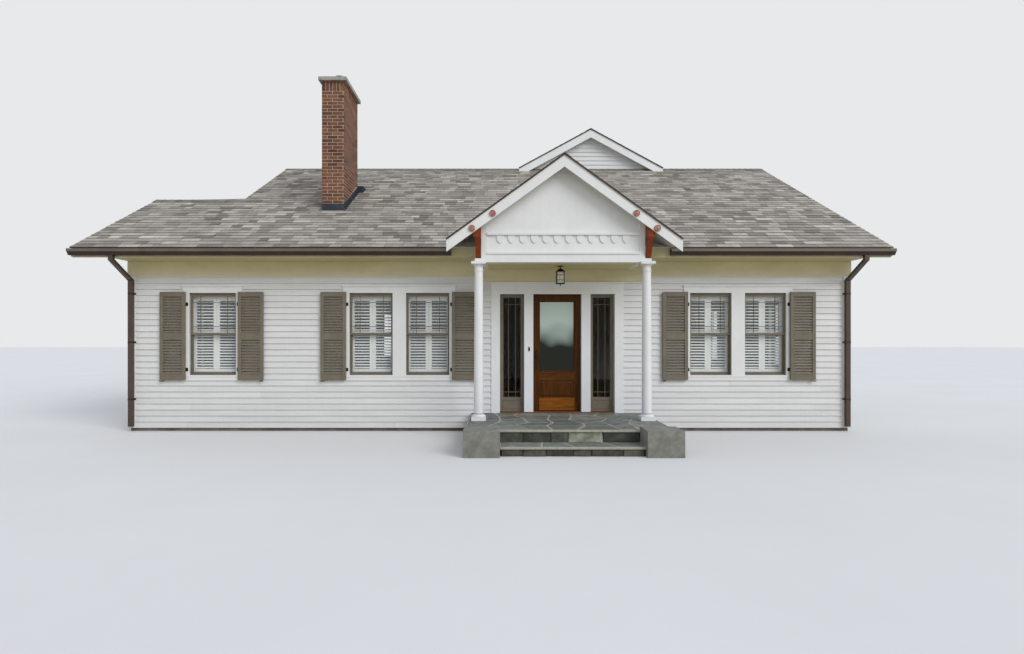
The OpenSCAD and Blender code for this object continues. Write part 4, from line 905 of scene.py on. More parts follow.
    def frieze(self) -> None:
        """Makes the plain boards at the top of the front wall, lower over the door than beside it."""
        p, mesh = PLAN, Mesh()
        left, right = p.entry_x - self.frieze_half, p.entry_x + self.frieze_half
        reach0, reach1, low, high = self.entry_painted_shade
        back, thin, thick = self.frieze_t
        z, top = self.frieze_z, p.soffit_z - 0.001
        # Plain boards under the eaves and over the entrance; their cream tint and their reach down over
        # the entrance are painted shade, for the warm shade there.
        for x0, x1, stand, z0, z1 in ((-self.frieze_end, left, thick, z, top),
                                      (right, p.main_x1 + self.frieze_end, thick, z, top),
                                      (left, right, thin, z, high),
                                      (p.entry_x - reach0, p.entry_x + reach1, thin, low, z)):
            mesh.boxes((x0, -stand, z0), (x1, -back, z1))
        mesh.build("eave_frieze_painted_shade", FRIEZE_SHADE, "siding", bevel=0.002)


# Roofs

@dataclass(frozen=True)
class Slope:
    """One roof slope: a corner at its eave, unit vectors along it and up it, and its outline.

    The sides are (distance up the slope, distance along it) pairs. A hole is a box in house
    coordinates that keeps no tab. Cover is the part under the porch roof, which stays bare: its
    middle and the (distance up the slope, half width) pairs of its outline.
    """
    corner: Triple
    along: Triple
    up: Triple
    start: tuple[Pair, ...]
    end: tuple[Pair, ...]
    hole: Quad | None = None
    cover: tuple[float, tuple[Pair, ...]] | None = None

    def normal(self) -> ARRAY:
        """Unit vector out of the slope."""
        out = np.cross(self.along, self.up)
        return out if out[2] > 0 else -out

    @property
    def length(self) -> float:
        """How far the slope reaches up from its eave."""
        return self.start[-1][0]

    def bare(self, v: float) -> float:
        """Half width of the covered part, v metres up the slope."""
        return max(0.0, float(np.interp(v, *np.array(self.cover[1]).T))) if self.cover else 0.0

    def courses(self, exposure: float) -> Iterator[tuple]:
        """Goes up the slope course by course.

        Args:
            exposure: height of a course, measured up the slope.
        Yields:
            Its foot and head, then at both the start, the end and the half width that stays bare.
        """
        for k in range(math.ceil(self.length / exposure)):
            levels = (k * exposure, min((k + 1) * exposure, self.length))
            sides = [[float(np.interp(v, *np.array(side, float).T)) for v in levels]
                     for side in (self.start, self.end)]
            yield levels, *sides, [self.bare(v) for v in levels]


@dataclass
class Roofing:
    """Laminated shingles in courses, ridge caps, underlay and the metal edges of the eaves.

    Cap heights are a cap's covered end, its exposed end and its thickness. The eave strip reaches
    from a lowest to a highest level over the eave and has a thickness.
    """
    exposure: float = 0.143
    thin: float = 0.0015
    thick: Pair = (0.006, 0.011)
    widths: Pair = (0.13, 0.34)
    cap_half: float = 0.14
    cap_lap: float = 0.012
    cap_heights: Triple = (0.008, 0.013, 0.006)
    cap_tints: Pair = (0.2, 0.8)
    porch_ridge_end: float = 1.85
    shade_line: float = 0.013
    underlay_t: float = 0.0012
    tab_gap: float = 0.002
    thin_share: float = 0.4
    strip: Triple = (-0.014, 0.004, 0.003)
    rng: np.random.Generator = field(default_factory=lambda: np.random.default_rng(SEED + 1))

    def slopes(self) -> list[Slope]:
        """Every shingled slope of the house."""
        p = PLAN
        s = math.hypot(1, p.pitch)
        rise, fall = (0.0, 1 / s, p.pitch / s), (0.0, -1 / s, p.pitch / s)
        left, right = p.main_x0 - p.rake, p.main_x1 + p.rake
        length, wing = (p.main_d / 2 + p.reach) * s, (p.wing_d / 2 + p.reach) * s
        meet_end = (p.porch_apex - p.wall_z) / p.pitch + p.reach
        widest = (p.porch_apex - p.eave_z) / p.porch_pitch
        narrow = (widest - p.porch_half) * p.porch_pitch / p.pitch * s
        under = ((0, p.porch_half - 0.03), (narrow, p.porch_half - 0.03), (meet_end * s, -0.03))

        def straight(high: float, first: float, last: float) -> tuple:
            """The two sides of an outline with square ends."""
            return tuple(((0, u), (high, u)) for u in (first, last))

        hole = (p.attic_x - 1.5, p.attic_x + 1.5, p.main_d / 2 + 0.1, p.attic_y - 0.1)
        out = [Slope((0, -p.reach, p.eave_z), (1, 0, 0), rise,
                     ((0, -p.wing_rake), (wing, -p.wing_rake), (wing + 0.001, left), (length, left)),
                     ((0, right), (length, right)), None, (p.entry_x, under)),
               Slope((0, p.main_d + p.reach, p.eave_z), (1, 0, 0), fall,
                     *straight(length, left, right), hole),
               Slope((0, p.wing_d + p.reach, p.eave_z), (1, 0, 0), fall,
                     *straight(wing, -p.wing_rake, p.main_x0 - 0.002))]
        q, a = math.hypot(1, p.porch_pitch), math.hypot(1, p.attic_pitch)
        foot_z = p.porch_apex - p.porch_pitch * p.porch_half
        reach = p.porch_half * q
        meet = [(z - p.wall_z) / p.pitch for z in (foot_z, p.porch_apex)]
        attic_foot = p.attic_half + p.attic_reach
        attic_z = p.attic_apex - p.attic_pitch * attic_foot
        y0, y1 = p.main_d / 2 - p.attic_reach - 0.015, p.attic_y + p.attic_reach + 0.015
        for side in (-1, 1):
            out.append(Slope((p.entry_x + side * p.porch_half, 0, foot_z), (0, 1, 0),
                             (-side / q, 0, p.porch_pitch / q),
                             ((0, -p.porch_front), (reach, -p.porch_front)),
                             ((0, meet[0] + 0.01), (reach, meet[1] + 0.01))))
            out.append(Slope((p.attic_x + side * attic_foot, 0, attic_z), (0, 1, 0),
                             (-side / a, 0, p.attic_pitch / a), *straight(attic_foot * a, y0, y1)))
        return out

    def lay(self, slope: Slope, mesh: Mesh) -> None:
        """Lays one slope's tabs.

        A course starts at a whole number of exposures up the slope. Its tabs' widths are random,
        their ends are held inside the outline at the course's foot and head, and each tab's
        thickness falls from its foot to its head. A dark line of underlay shows above each course.

        Args:
            slope: the slope that is covered.
            mesh: what the tabs go into.
        """
        along, up, normal = np.array(slope.along, float), np.array(slope.up, float), slope.normal()
        for (v0, v1), lows, highs, bare in slope.courses(self.exposure):
            count = int((max(highs) - min(lows)) / self.widths[0]) + 2
            shift = self.rng.uniform(0, 0.2)
            marks = min(lows) - shift + np.cumsum(self.rng.uniform(*self.widths, count))
            marks = np.concatenate([[min(lows) - 1], marks, [max(highs) + 1]])
            a = [np.clip(marks[:-1] + self.tab_gap, lo, hi) for lo, hi in zip(lows, highs)]
            b = [np.clip(marks[1:] - self.tab_gap, lo, hi) for lo, hi in zip(lows, highs)]
            if max(bare) > 0:
                left = (a[0] + b[0]) / 2 < slope.cover[0]
                b = [np.where(left, np.minimum(x, slope.cover[0] - c), x) for x, c in zip(b, bare)]
                a = [np.where(left, np.minimum(x, y), np.maximum(x, slope.cover[0] + c))
                     for x, y, c in zip(a, b, bare)]
                b = [np.maximum(x, y) for x, y in zip(a, b)]
            keep = ((b[0] - a[0]) > 0.01) | ((b[1] - a[1]) > 0.01)
            a, b = [x[keep] for x in a], [x[keep] for x in b]
            thick = self.rng.uniform(*self.thick, len(a[0]))
            thick = np.where(self.rng.uniform(0, 1, len(thick)) < self.thin_share, self.thick[0], thick)
            tone = np.clip(self.rng.normal(0.5, 0.27, len(thick)), 0, 1)
            head = v1 - (self.shade_line if v1 < slope.length else 0)
            ring, height = np.stack([a[0], b[0], b[1], a[1]], 1), np.array([v0, v0, head, head])
            base = np.array(slope.corner, float) + ring[..., None] * along + height[None, :, None] * up
            thin = np.full_like(thick, self.thin)
            lift = np.stack([thick, thick, thin, thin], 1)
            solid = np.concatenate([base, base + lift[..., None] * normal], 1)
            if slope.hole:
                x0, x1, y0, y1 = slope.hole
                x, y, _ = base.mean(1).T
                free = ~((x > x0) & (x < x1) & (y > y0) & (y < y1))
                solid, tone = solid[free], tone[free]
            mesh.solids(solid, tone)

    def caps(self, first: tuple, last: tuple, pitch: float, mesh: Mesh) -> None:
        """Folds cap shingles over a ridge from one point to another, each lapping the one before.

        A cap's halves fall on both sides at the roof's pitch; its exposed end stands a little higher.

        Args:
            first, last: the ridge's ends.
            pitch: the roof's rise for each metre in from the eave.
            mesh: what the caps go into.
        """
        first, last = np.array(first, float), np.array(last, float)
        line = last - first
        length = np.linalg.norm(line)
        line /= length
        across = np.array([line[1], -line[0], 0])
        count = int(length / self.exposure)
        step = length / count
        s = np.arange(count)[:, None]
        fall = self.cap_half / math.hypot(1, pitch)
        for side in (-1, 1):
            down = side * across * fall - np.array([0, 0, pitch * fall])
            up = np.array([0, 0, 1.0])
            a = first + line * (s * step)
            b = first + line * ((s + 1) * step + self.cap_lap)
            low, high, thick = (height * up for height in self.cap_heights)
            ring = np.stack([a + high, b + low, b + low + down, a + high + down], 1)
            mesh.solids(np.concatenate([ring, ring + thick], 1),
                        self.rng.uniform(*self.cap_tints, count))

    def build(self) -> None:
        """Makes the shingles, the ridge caps, the underlay and the metal edges of the eaves."""
        p = PLAN
        tabs, caps = Mesh(), Mesh()
        for slope in self.slopes():
            self.lay(slope, tabs)
        main, wing = (p.roof_z(depth / 2) for depth in (p.main_d, p.wing_d))
        for first, last, pitch in (
                ((p.main_x0 - p.rake + 0.01, p.main_d / 2, main),
                 (p.main_x1 + p.rake - 0.02, p.main_d / 2, main), p.pitch),
                ((-p.wing_rake + 0.01, p.wing_d / 2, wing),
                 (p.main_x0 - 0.01, p.wing_d / 2, wing), p.pitch),
                ((p.entry_x, -p.porch_front + 0.01, p.porch_apex),
                 (p.entry_x, self.porch_ridge_end, p.porch_apex), p.porch_pitch),
                ((p.attic_x, p.main_d / 2 - p.attic_reach + 0.01, p.attic_apex),
                 (p.attic_x, p.attic_y + p.attic_reach - 0.02, p.attic_apex), p.attic_pitch)):
            self.caps(first, last, pitch, caps)
        tabs.build("roof_shingles", SHINGLES, "shingles")
        caps.build("ridge_caps", RIDGE, "shingles")
        self.felt()
        self.eave_strips()

    def felt(self) -> None:
        """Lays a thin dark underlay under the tabs of every slope, course by course."""
        mesh = Mesh()
        for slope in self.slopes():
            corner, along, up = (np.array(v, float) for v in (slope.corner, slope.along, slope.up))
            for (v0, v1), lows, highs, bare in slope.courses(self.exposure):
                spans = [(lows, highs)]
                if max(bare) > 0:
                    middle = slope.cover[0]
                    spans = [(lows, [middle - c for c in bare]), ([middle + c for c in bare], highs)]
                for near, far in spans:
                    mesh.slab([corner + u * along + v * up for u, v in (
                        (near[0], v0), (far[0], v0), (far[1], v1), (near[1], v1))],
                        self.underlay_t * slope.normal())
        mesh.build("roof_underlay", FELT, "shingles")

    def eave_strips(self) -> None:
        """Makes the dark metal edges of the roof covering along the eaves, above the gutters."""
        p, mesh = PLAN, Mesh()
        low, high, t = self.strip
        front, rear, wing = -p.reach, p.main_d + p.reach, p.wing_d + p.reach
        for x0, x1, y0, y1 in ((-p.wing_rake, p.entry_x - p.porch_half, front - t, front),
                               (p.entry_x + p.porch_half, p.main_x1 + p.rake, front - t, front),
                               (p.main_x0 - p.rake, p.main_x1 + p.rake, rear, rear + t),
                               (-p.wing_rake, p.main_x0 - p.rake, wing, wing + t)):
            mesh.boxes((x0, y0, p.eave_z + low), (x1, y1, p.eave_z + high))
        mesh.build("eave_drip_edges", GUTTER, "brown_metal")


# Chimney

@dataclass
class BrickStack:
    """Bricks in running bond on the chimney's four faces, with bricks on end under the cap.

    The apron is its width at the sides and at the front, its lift off the roof and its thickness.
    The tray is its reach past the stack, its height, its sheet and its distance behind the stack.
    """
    x: float = 3.215
    y: float = 1.26
    width: float = 0.435
    depth: float = 1.05
    high: float = 6.74
    flashing: float = 0.12
    module: Pair = (0.2075, 0.0672)
    upright: float = 0.20
    joint: float = 0.010
    proud: float = 0.004
    least: float = 0.03
    dark_share: float = 0.16
    apron: Quad = (0.045, 0.07, 0.013, 0.003)
    tray: Quad = (0.13, 0.15, 0.004, 0.005)
    rng: np.random.Generator = field(default_factory=lambda: np.random.default_rng(SEED + 2))

    def face(self, mesh: Mesh, length: float, foot: Pair, to_house) -> None:
        """Lays one face.

        Courses rise by the module's height, and every other one is moved along by half a brick.
        The bricks are cut at the face's ends and at the flashing's top, a line whose height is a
        first value plus a slope times the distance along the face. The last course stands on end.

        Args:
            mesh: what the bricks go into.
            length: the face's length.
            foot: height of the flashing's top at the start of the face, and its slope.
            to_house: turns (distance along, stand, height) into house coordinates.
        """
        top = self.high - self.upright
        count = round((top - foot[0]) / self.module[1])
        rise = (top - foot[0]) / count
        courses = [(foot[0] + k * rise, rise, self.module[0], self.module[0] / 2 * (k % 2))
                   for k in range(count)]
        courses.append((top, self.upright, self.module[1] + 0.004, 0.0))
        end = self.proud - 0.0006
        for level, height, pitch, shift in courses:
            marks = np.arange(-1, math.ceil(length / pitch) + 2) * pitch + shift
            a = np.clip(marks[:-1] + self.joint / 2, -end, length + end)
            b = np.clip(marks[1:] - self.joint / 2, -end, length + end)
            a[marks[:-1] < 0.01] = -end
            b[marks[1:] > length - 0.01] = length + end
            z0, z1 = level + self.joint / 2, level + height - self.joint / 2
            if foot[1] > 0:
                b = np.minimum(b, (z1 - 0.01 - foot[0]) / foot[1])
            keep = (b - a) > self.least
            a, b = a[keep], b[keep]
            stand = self.proud + self.rng.uniform(-0.0012, 0.0012, len(a))
            tone = np.clip(self.rng.normal(0.55, 0.2, len(a)), 0, 1)
            tone = np.where(self.rng.uniform(0, 1, len(a)) < self.dark_share, 0.0, tone)
            low_a, low_b = (np.maximum(z0, foot[0] + foot[1] * u + 0.002) for u in (a, b))
            top, back = np.full(len(a), z1), np.full(len(a), -0.012)
            ring = ((a, back, low_a), (b, back, low_b), (b, stand, low_b), (a, stand, low_a),
                    (a, back, top), (b, back, top), (b, stand, top), (a, stand, top))
            mesh.solids(np.stack([np.stack(to_house(u, s, z), -1) for u, s, z in ring], 1), tone)

    def aprons(self, x0: float, x1: float, y0: float, y1: float) -> None:
        """Makes the sheet metal that lies on the shingles round the stack, with a tray behind it.

        Each sheet is a four-sided piece whose corners stand 13 mm over the roof's surface. The
        tray is a wedge with a level top, as wide as the stack and a little more.

        Args:
            x0, x1, y0, y1: the stack's faces.
        """
        mesh = Mesh()
        side, front, lift, thick = self.apron
        near = y0 - 0.004
        for a, b, c, d in ((x0 - side, x1 + side, y0 - front, near), (x0 - side, x0 - 0.004, near, y1),
                           (x1 + 0.004, x1 + side, near, y1)):
            ring = [(x, y, PLAN.roof_z(y) + lift) for x, y in ((a, c), (b, c), (b, d), (a, d))]
            mesh.slab(ring, (0, 0, thick))
        wide, tall, sheet, off = self.tray
        low, high, back = PLAN.roof_z(y1), PLAN.roof_z(y1) + tall, y1 + tall / PLAN.pitch
        mesh.solids([(x, y, z) for foot, head in ((low, high - sheet), (high, high))
                     for x, y, z in ((x0 - wide, y1 + off, foot), (x1 + wide, y1 + off, foot),
                                     (x1 + wide, back, head), (x0 - wide, back, head))])
        mesh.build("chimney_aprons", FLASHING, "flashing")

    def build(self) -> None:
        """Makes the bricks and dresses the stack, its cap and its flashing."""
        mesh = Mesh()
        x0, x1 = self.x - self.width / 2, self.x + self.width / 2
        y0, y1 = self.y, self.y + self.depth
        front, back = ((PLAN.roof_z(y) + self.flashing, 0.0) for y in (y0, y1))
        side = (front[0], PLAN.pitch)
        for length, foot, to_house in ((self.width, front, lambda u, s, z: (x0 + u, y0 - s, z)),
                                       (self.width, back, lambda u, s, z: (x0 + u, y1 + s, z)),
                                       (self.depth, side, lambda u, s, z: (x0 - s, y0 + u, z)),
                                       (self.depth, side, lambda u, s, z: (x1 + s, y0 + u, z))):
            self.face(mesh, length, foot, to_house)
        mesh.build("chimney_bricks", BRICK, "brick", bevel=0.002)
        self.aprons(x0, x1, y0, y1)
        dress(MORTAR, "chimney")
        dress(CONCRETE, "chimney_cap")
        dress(FLASHING, "chimney_flashing")


# Windows

@dataclass(frozen=True)
class Slats:
    """Slats of a shutter: usual pitch, width, thickness, tilt in degrees and sides of the section."""
    pitch: float
    width: float
    thick: float
    tilt: float
    sides: int = 10

    def fill(self, mesh: Mesh, x0: float, x1: float, z0: float, z1: float, y: float) -> None:
        """Fills a panel.

        A slat's section is an ellipse turned by the tilt about its own middle line, carried from
        one stile to the other and closed at both ends.

        Args:
            mesh: what the slats go into.
            x0, x1, z0, z1: the panel's opening.
            y: the slats' middle.
        """
        count = round((z1 - z0) / self.pitch)
        pitch = (z1 - z0) / count
        turn, tilt = np.arange(self.sides) * 2 * np.pi / self.sides, math.radians(self.tilt)
        a, b = self.width / 2 * np.cos(turn), self.thick / 2 * np.sin(turn)
        across, rise = a * math.cos(tilt) - b * math.sin(tilt), a * math.sin(tilt) + b * math.cos(tilt)
        for i in range(count):
            middle = z0 + pitch / 2 + i * pitch
            rows = [np.stack([np.full(self.sides, x), y + across * size, middle + rise * size], -1)
                    for x, size in ((x0, 0.0), (x0, 1.0), (x1, 1.0), (x1, 0.0))]
            mesh.sheet(np.array(rows), wrap_v=True)


@dataclass
class Windows:
    """Frames, sashes, panes and glazing bars of the double-hung windows, inner and outside shutters.

    Inner rails are the foot's and the top's; outer rails the foot's, the middle's and the top's.
    The inner middle rail reaches below and above the window's middle, and the outer one starts
    at a share of the shutter's height. A tongue is how far a slat goes into its stile.
    """
    frame_w: float = 0.012
    frame_y: float = 0.018
    frame_t: float = 0.082
    sash_w: float = 0.020
    sash_t: float = 0.03
    top_rail: float = 0.040
    foot_rail: float = 0.036
    lap: float = 0.017
    bar: float = 0.011
    bar_t: float = 0.009
    half_pane: float = 0.003
    prairie: Triple = (0.145, 0.115, 0.115)
    wall_t: float = 0.16
    inner_stile: float = 0.055
    inner_t: float = 0.028
    inner_rails: Pair = (0.105, 0.13)
    inner_middle: Pair = (0.015, 0.05)
    inner_slats: Slats = Slats(0.052, 0.058, 0.009, 30.0)
    outer_stile: float = 0.06
    outer_rails: Triple = (0.10, 0.12, 0.085)
    outer_middle: float = 0.455
    outer_slats: Slats = Slats(0.0492, 0.0435, 0.008, 57.0)
    tongue: float = 0.003

    def bars(self, mesh: Mesh, place: Place, x0: float, x1: float, z0: float,
             z1: float, y: float, inset: Triple) -> None:
        """Adds prairie bars on both faces of one pane.

        Two uprights and two level bars stand at the insets from the pane's edges. Each is a
        strip that narrows towards its face.

        Args:
            mesh: what the bars go into.
            place: turns the points into house coordinates.
            x0, x1, z0, z1: the pane's edges.
            y: the middle of the pane's thickness.
            inset: distance from the sides, from the top and from the foot.
        """
        side, top, foot = inset
        w, c = self.bar / 2, self.bar / 2 - 0.004
        for sign in (-1, 1):
            near, far = y + sign * self.half_pane, y + sign * (self.half_pane + self.bar_t)
            section = ((-w, near), (w, near), (c, far), (-c, far))
            for x in (x0 + side, x1 - side):
                mesh.solids(place(np.array([(x + a, v, z) for z in (z0, z1) for a, v in section])))
            far -= sign * 0.0006
            section = ((-w, near), (w, near), (c, far), (-c, far))
            for z in (z1 - top, z0 + foot):
                mesh.solids(place(np.array([(x, v, z + a) for x in (x0, x1) for a, v in section])))

    def ring(self, mesh: Mesh, place: Place | None, low: ROWS, high: ROWS,
             widths: Triple) -> None:
        """Adds an upright frame of two stiles and two rails.

        Args:
            mesh: what the frame goes into.
            place: turns the points into house coordinates, or nothing.
            low, high: its lowest and highest corners (x, y, z).
            widths: width of the stiles, of the foot rail and of the top rail.
        """
        (x0, y0, z0), (x1, y1, z1) = low, high
        side, foot, top = widths
        mesh.boxes([(x0, y0, z0), (x1 - side, y0, z0), (x0 + side, y0, z0), (x0 + side, y0, z1 - top)],
                   [(x0 + side, y1, z1), (x1, y1, z1), (x1 - side, y1, z0 + foot), (x1 - side, y1, z1)],
                   place=place)

    def sashes(self) -> None:
        """Makes frames, sashes and panes in place of the plain ones, with beads and glazing bars."""
        frames, glass, bars, beads = Mesh(), Mesh(), Mesh(), Mesh()
        bead = ((0, 0), (0, 0.008), (0.002, 0.006), (0.005, 0))
        f, s, y0, t = self.frame_w, self.sash_w, self.frame_y, self.sash_t
        half, play = self.half_pane, 0.004
        for g in ALL_WINDOWS:
            mid = (g.sill + g.head) / 2
            for x in g.offsets():
                a, b = x - g.width / 2, x + g.width / 2
                self.ring(frames, g.place, (a, y0, g.sill), (b, y0 + self.frame_t, g.head), (f, f, f))
                for low, high, y, foot, top in (
                        (mid - self.lap, g.head - f, y0 + 0.004, 2 * self.lap, self.top_rail),
                        (g.sill + f, mid + self.lap, y0 + 0.006 + t, self.foot_rail, 2 * self.lap)):
                    self.ring(frames, g.place, (a + f, y, low), (b - f, y + t, high), (s, foot, top))
                    middle = y + t / 2
                    x0, x1, z0, z1 = a + f + s, b - f - s, low + foot, high - top
                    glass.boxes((x0 - play, middle - half, z0 - play),
                                (x1 + play, middle + half, z1 + play), place=g.place)
                    beads.both_faces((x0, z0), (x1, z1), bead, middle, half, g.place)
                    if top == self.top_rail:
                        self.bars(bars, g.place, x0, x1, z0, z1, middle, self.prairie)
        piece = frames.build("window_sash_frames", TAUPE, "taupe_paint", bevel=0.0015)
        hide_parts("window_sashes")
        panes = glass.build("window_panes", GLASS, "glass")
        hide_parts("window_glass")
        bars.build("window_glazing_bars", TAUPE, "taupe_paint")
        beads.build("window_glazing_beads", TAUPE, "taupe_paint", outward=True)

    def inner_shutters(self) -> None:
        """Makes the plantation shutters inside the front windows, in place of the plain panels."""
        panels, slats = Mesh(), Mesh()
        thick, stile, (foot, top), (under, over) = (self.inner_t, self.inner_stile, self.inner_rails,
                                                    self.inner_middle)
        y0 = self.wall_t - 0.01 - thick
        for g in FRONT_WINDOWS:
            z0, z1, centre = g.sill, g.head, (g.sill + g.head) / 2
            for offset in g.offsets():
                for side in (-1, 1):
                    x0, x1 = sorted(g.x + offset + side * u for u in (g.width / 2, 0.001))
                    panels.boxes([(x0, y0, z0), (x1 - stile, y0, z0)],
                                 [(x0 + stile, y0 + thick, z1), (x1, y0 + thick, z1)])
                    for a, b in ((z0, z0 + foot), (centre - under, centre + over), (z1 - top, z1)):
                        panels.boxes((x0 + stile, y0 + 0.001, a), (x1 - stile, y0 + thick - 0.001, b))
                    for a, b in ((z0 + foot, centre - under), (centre + over, z1 - top)):
                        self.inner_slats.fill(slats, x0 + stile - self.tongue, x1 - stile + self.tongue,
                                              a, b, y0 + thick / 2)
        piece = panels.build("inner_shutter_panels", PLANTATION, "white_trim", bevel=0.002)
        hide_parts("inner_shutters")
        slats.build("inner_shutter_slats", PLANTATION, "white_trim", smooth=True, outward=True)

    def outer_shutters(self) -> None:
        """Makes the slatted shutters on the wall in place of the plain ones, each on its own leaf."""
        centre = np.array([PLAN.centre_x, PLAN.centre_y, 0])
        stile, (foot, middle, top) = self.outer_stile, self.outer_rails
        for node in SHUTTERS:
            plain = bpy.data.objects[node]
            corners = np.array([plain.matrix_world @ Vector(c) for c in plain.bound_box]) + centre
            (x0, y0, z0), (x1, y1, z1) = corners.min(0) + 0.0005, corners.max(0) - 0.0005
            frame, slats = Mesh(), Mesh()
            self.ring(frame, None, (x0, y0, z0), (x1, y1, z1), (stile, foot, top))
            rail = z0 + (z1 - z0) * self.outer_middle
            frame.boxes((x0 + stile, y0 + 0.001, rail), (x1 - stile, y1 - 0.001, rail + middle))
            for a, b in ((z0 + foot, rail), (rail + middle, z1 - top)):
                self.outer_slats.fill(slats, x0 + stile - self.tongue, x1 - stile + self.tongue,
                                      a, b, (y0 + y1) / 2)
            body = f"{node}_leaf"
            piece = frame.build(f"{node}_frame", TAUPE, "taupe_paint", body, bevel=0.0025)
            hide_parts(node)
            slats.build(f"{node}_slats", TAUPE, "taupe_paint", body, smooth=True, outward=True)

    def build(self) -> None:
        """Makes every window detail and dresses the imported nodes."""
        self.sashes()
        self.inner_shutters()
        self.outer_shutters()
        dress(TAUPE, "window_sashes", *SHUTTERS)
        dress(GLASS, "window_glass")
        dress(TRIM, "window_casings")
        dress(PLANTATION, "inner_shutters")
        dress(IRON, "shutter_hardware")


# Entrance

@dataclass
class Entrance:
    """Door, sidelights, bell and lantern.

    The panel is its lowest and highest level over the leaf's foot. The raised field's slope is
    its width and its rise. The bell's place counts from the entrance's middle.
    """
    leaf_half: float = 0.418
    stile: float = 0.102
    leaf_y: float = 0.087
    leaf_t: float = 0.045
    leaf_z: float = 0.346
    leaf_h: float = 2.063
    glass_z: float = 0.70
    top_rail: float = 0.112
    panel: Pair = (0.24, 0.54)
    post_out: float = 0.584
    sidelight: float = 0.426
    side_stile: float = 0.052
    side_base: float = 0.24
    side_bars: Triple = (0.098, 0.125, 0.098)
    half_pane: float = 0.003
    sunk: float = 0.014
    field_edge: float = 0.02
    field_rise: Pair = (0.03, 0.0125)
    bell_place: Triple = (-0.4985, -0.025, 1.446)
    bell_size: Pair = (0.017, 0.042)
    lantern_y: float = -0.5
    lantern_z: float = 2.56
    lantern_half: float = 0.066
    lantern_wire: float = 0.005
    lantern_rings: Pair = (0.055, 0.135)

    def place(self, points: ARRAY) -> ARRAY:
        """Moves points measured from the entrance's centre line into house coordinates."""
        return points + np.array([PLAN.entry_x, 0, 0])

    def door(self) -> None:
        """Makes the beads round the door's glass and panel, and the raised field."""
        beads, panels = Mesh(), Mesh()
        inner = self.leaf_half - self.stile
        bead = ((0, 0), (0, 0.012), (0.005, 0.014), (0.010, 0.010), (0.016, 0.004), (0.018, 0))
        z0, z1 = self.leaf_z + self.glass_z, self.leaf_z + self.leaf_h - self.top_rail
        middle = self.leaf_y + self.leaf_t / 2
        beads.both_faces((-inner, z0), (inner, z1), bead, middle, self.half_pane, self.place)
        p0, p1 = (self.leaf_z + z for z in self.panel)
        edge, (slope, rise) = self.field_edge, self.field_rise
        for y, sign in ((self.leaf_y + self.sunk, -1), (self.leaf_y + self.leaf_t - self.sunk, 1)):
            beads.moulding((-inner, p0), (inner, p1), bead, y, sign, self.place)
            low, high = np.array([-inner + edge, p0 + edge]), np.array([inner - edge, p1 - edge])
            rings = [[(a[0], y + sign * out, a[1]), (b[0], y + sign * out, a[1]),
                      (b[0], y + sign * out, b[1]), (a[0], y + sign * out, b[1])]
                     for a, b, out in ((low, high, 0.0), (low + slope, high - slope, rise))]
            # The raised fields take a low tint of the lighter stain.
            panels.solids(self.place(np.concatenate(rings)), 0.25)
        beads.build("door_beads", DOOR, "door_wood", "front_door_leaf", outward=True)
        # Painted light: the bottom rail's tint lifts it brightest, for the light low on the door; the
        # lock rail is tinted darker.
        for z0, z1, tone in ((0.012, self.panel[0] - 0.006, 1.0),
                             (self.panel[1] + 0.006, self.glass_z - 0.006, 0.1)):
            for y in (self.leaf_y - 0.0008, self.leaf_y + self.leaf_t - 0.0012):
                panels.boxes((PLAN.entry_x - inner + 0.002, y, self.leaf_z + z0),
                             (PLAN.entry_x + inner - 0.002, y + 0.002, self.leaf_z + z1), tone)
        panels.build("door_panels", DOOR_PANELS_LIT, "door_wood", "front_door_leaf")

    def sidelights(self) -> None:
        """Makes the sidelights' prairie bars, beads and sunk base panels."""
        bars, beads = Mesh(), Mesh()
        bead = ((0, 0), (0, 0.010), (0.004, 0.010), (0.010, 0.002), (0.010, 0))
        base = ((0, -0.002), (0.002, 0.006), (0.008, 0.006), (0.014, -0.002))
        foot = PLAN.floor_z + 0.02
        z0, z1 = foot + self.side_base, PLAN.floor_z + 2.095 - self.side_stile
        y = (self.leaf_y + 0.132) / 2
        for side in (-1, 1):
            x0, x1 = sorted((side * (self.post_out + self.side_stile),
                             side * (self.post_out + self.sidelight - self.side_stile)))
            Windows().bars(bars, self.place, x0, x1, z0, z1, y, self.side_bars)
            beads.both_faces((x0, z0), (x1, z1), bead, y, self.half_pane, self.place)
            beads.moulding((x0 - 0.01, foot + 0.04), (x1 + 0.01, z0 - 0.04), base, self.leaf_y, -1,
                           self.place)
        bars.build("sidelight_glazing_bars", TAUPE, "taupe_paint")
        beads.build("sidelight_beads", TAUPE, "taupe_paint", outward=True)

    def bell(self) -> None:
        """Makes the bell push on the left post: an oval plate with a round button."""
        mesh = Mesh()
        x, y, z = self.bell_place
        turn = np.linspace(0, 2 * np.pi, 24, endpoint=False)
        rings = [np.stack([self.bell_size[0] * size * np.cos(turn), np.full(24, y - out),
                           self.bell_size[1] * size * np.sin(turn)], -1)
                 for size, out in ((0.0, 0.0), (1.0, 0.0), (1.0, 0.005), (0.82, 0.009), (0.0, 0.010))]
        mesh.sheet(np.array(rings) + np.array([PLAN.entry_x + x, 0, z]), wrap_v=True)
        button = np.array([[0, 0.008], [0.008, 0.008], [0.008, 0.013], [0.005, 0.015], [0, 0.015]])
        mesh.turned(button * [1, -1], (PLAN.entry_x + x, y, z), axis=1, sides=16)
        mesh.build("bell_push", IRON, "black_metal", smooth=True, outward=True)

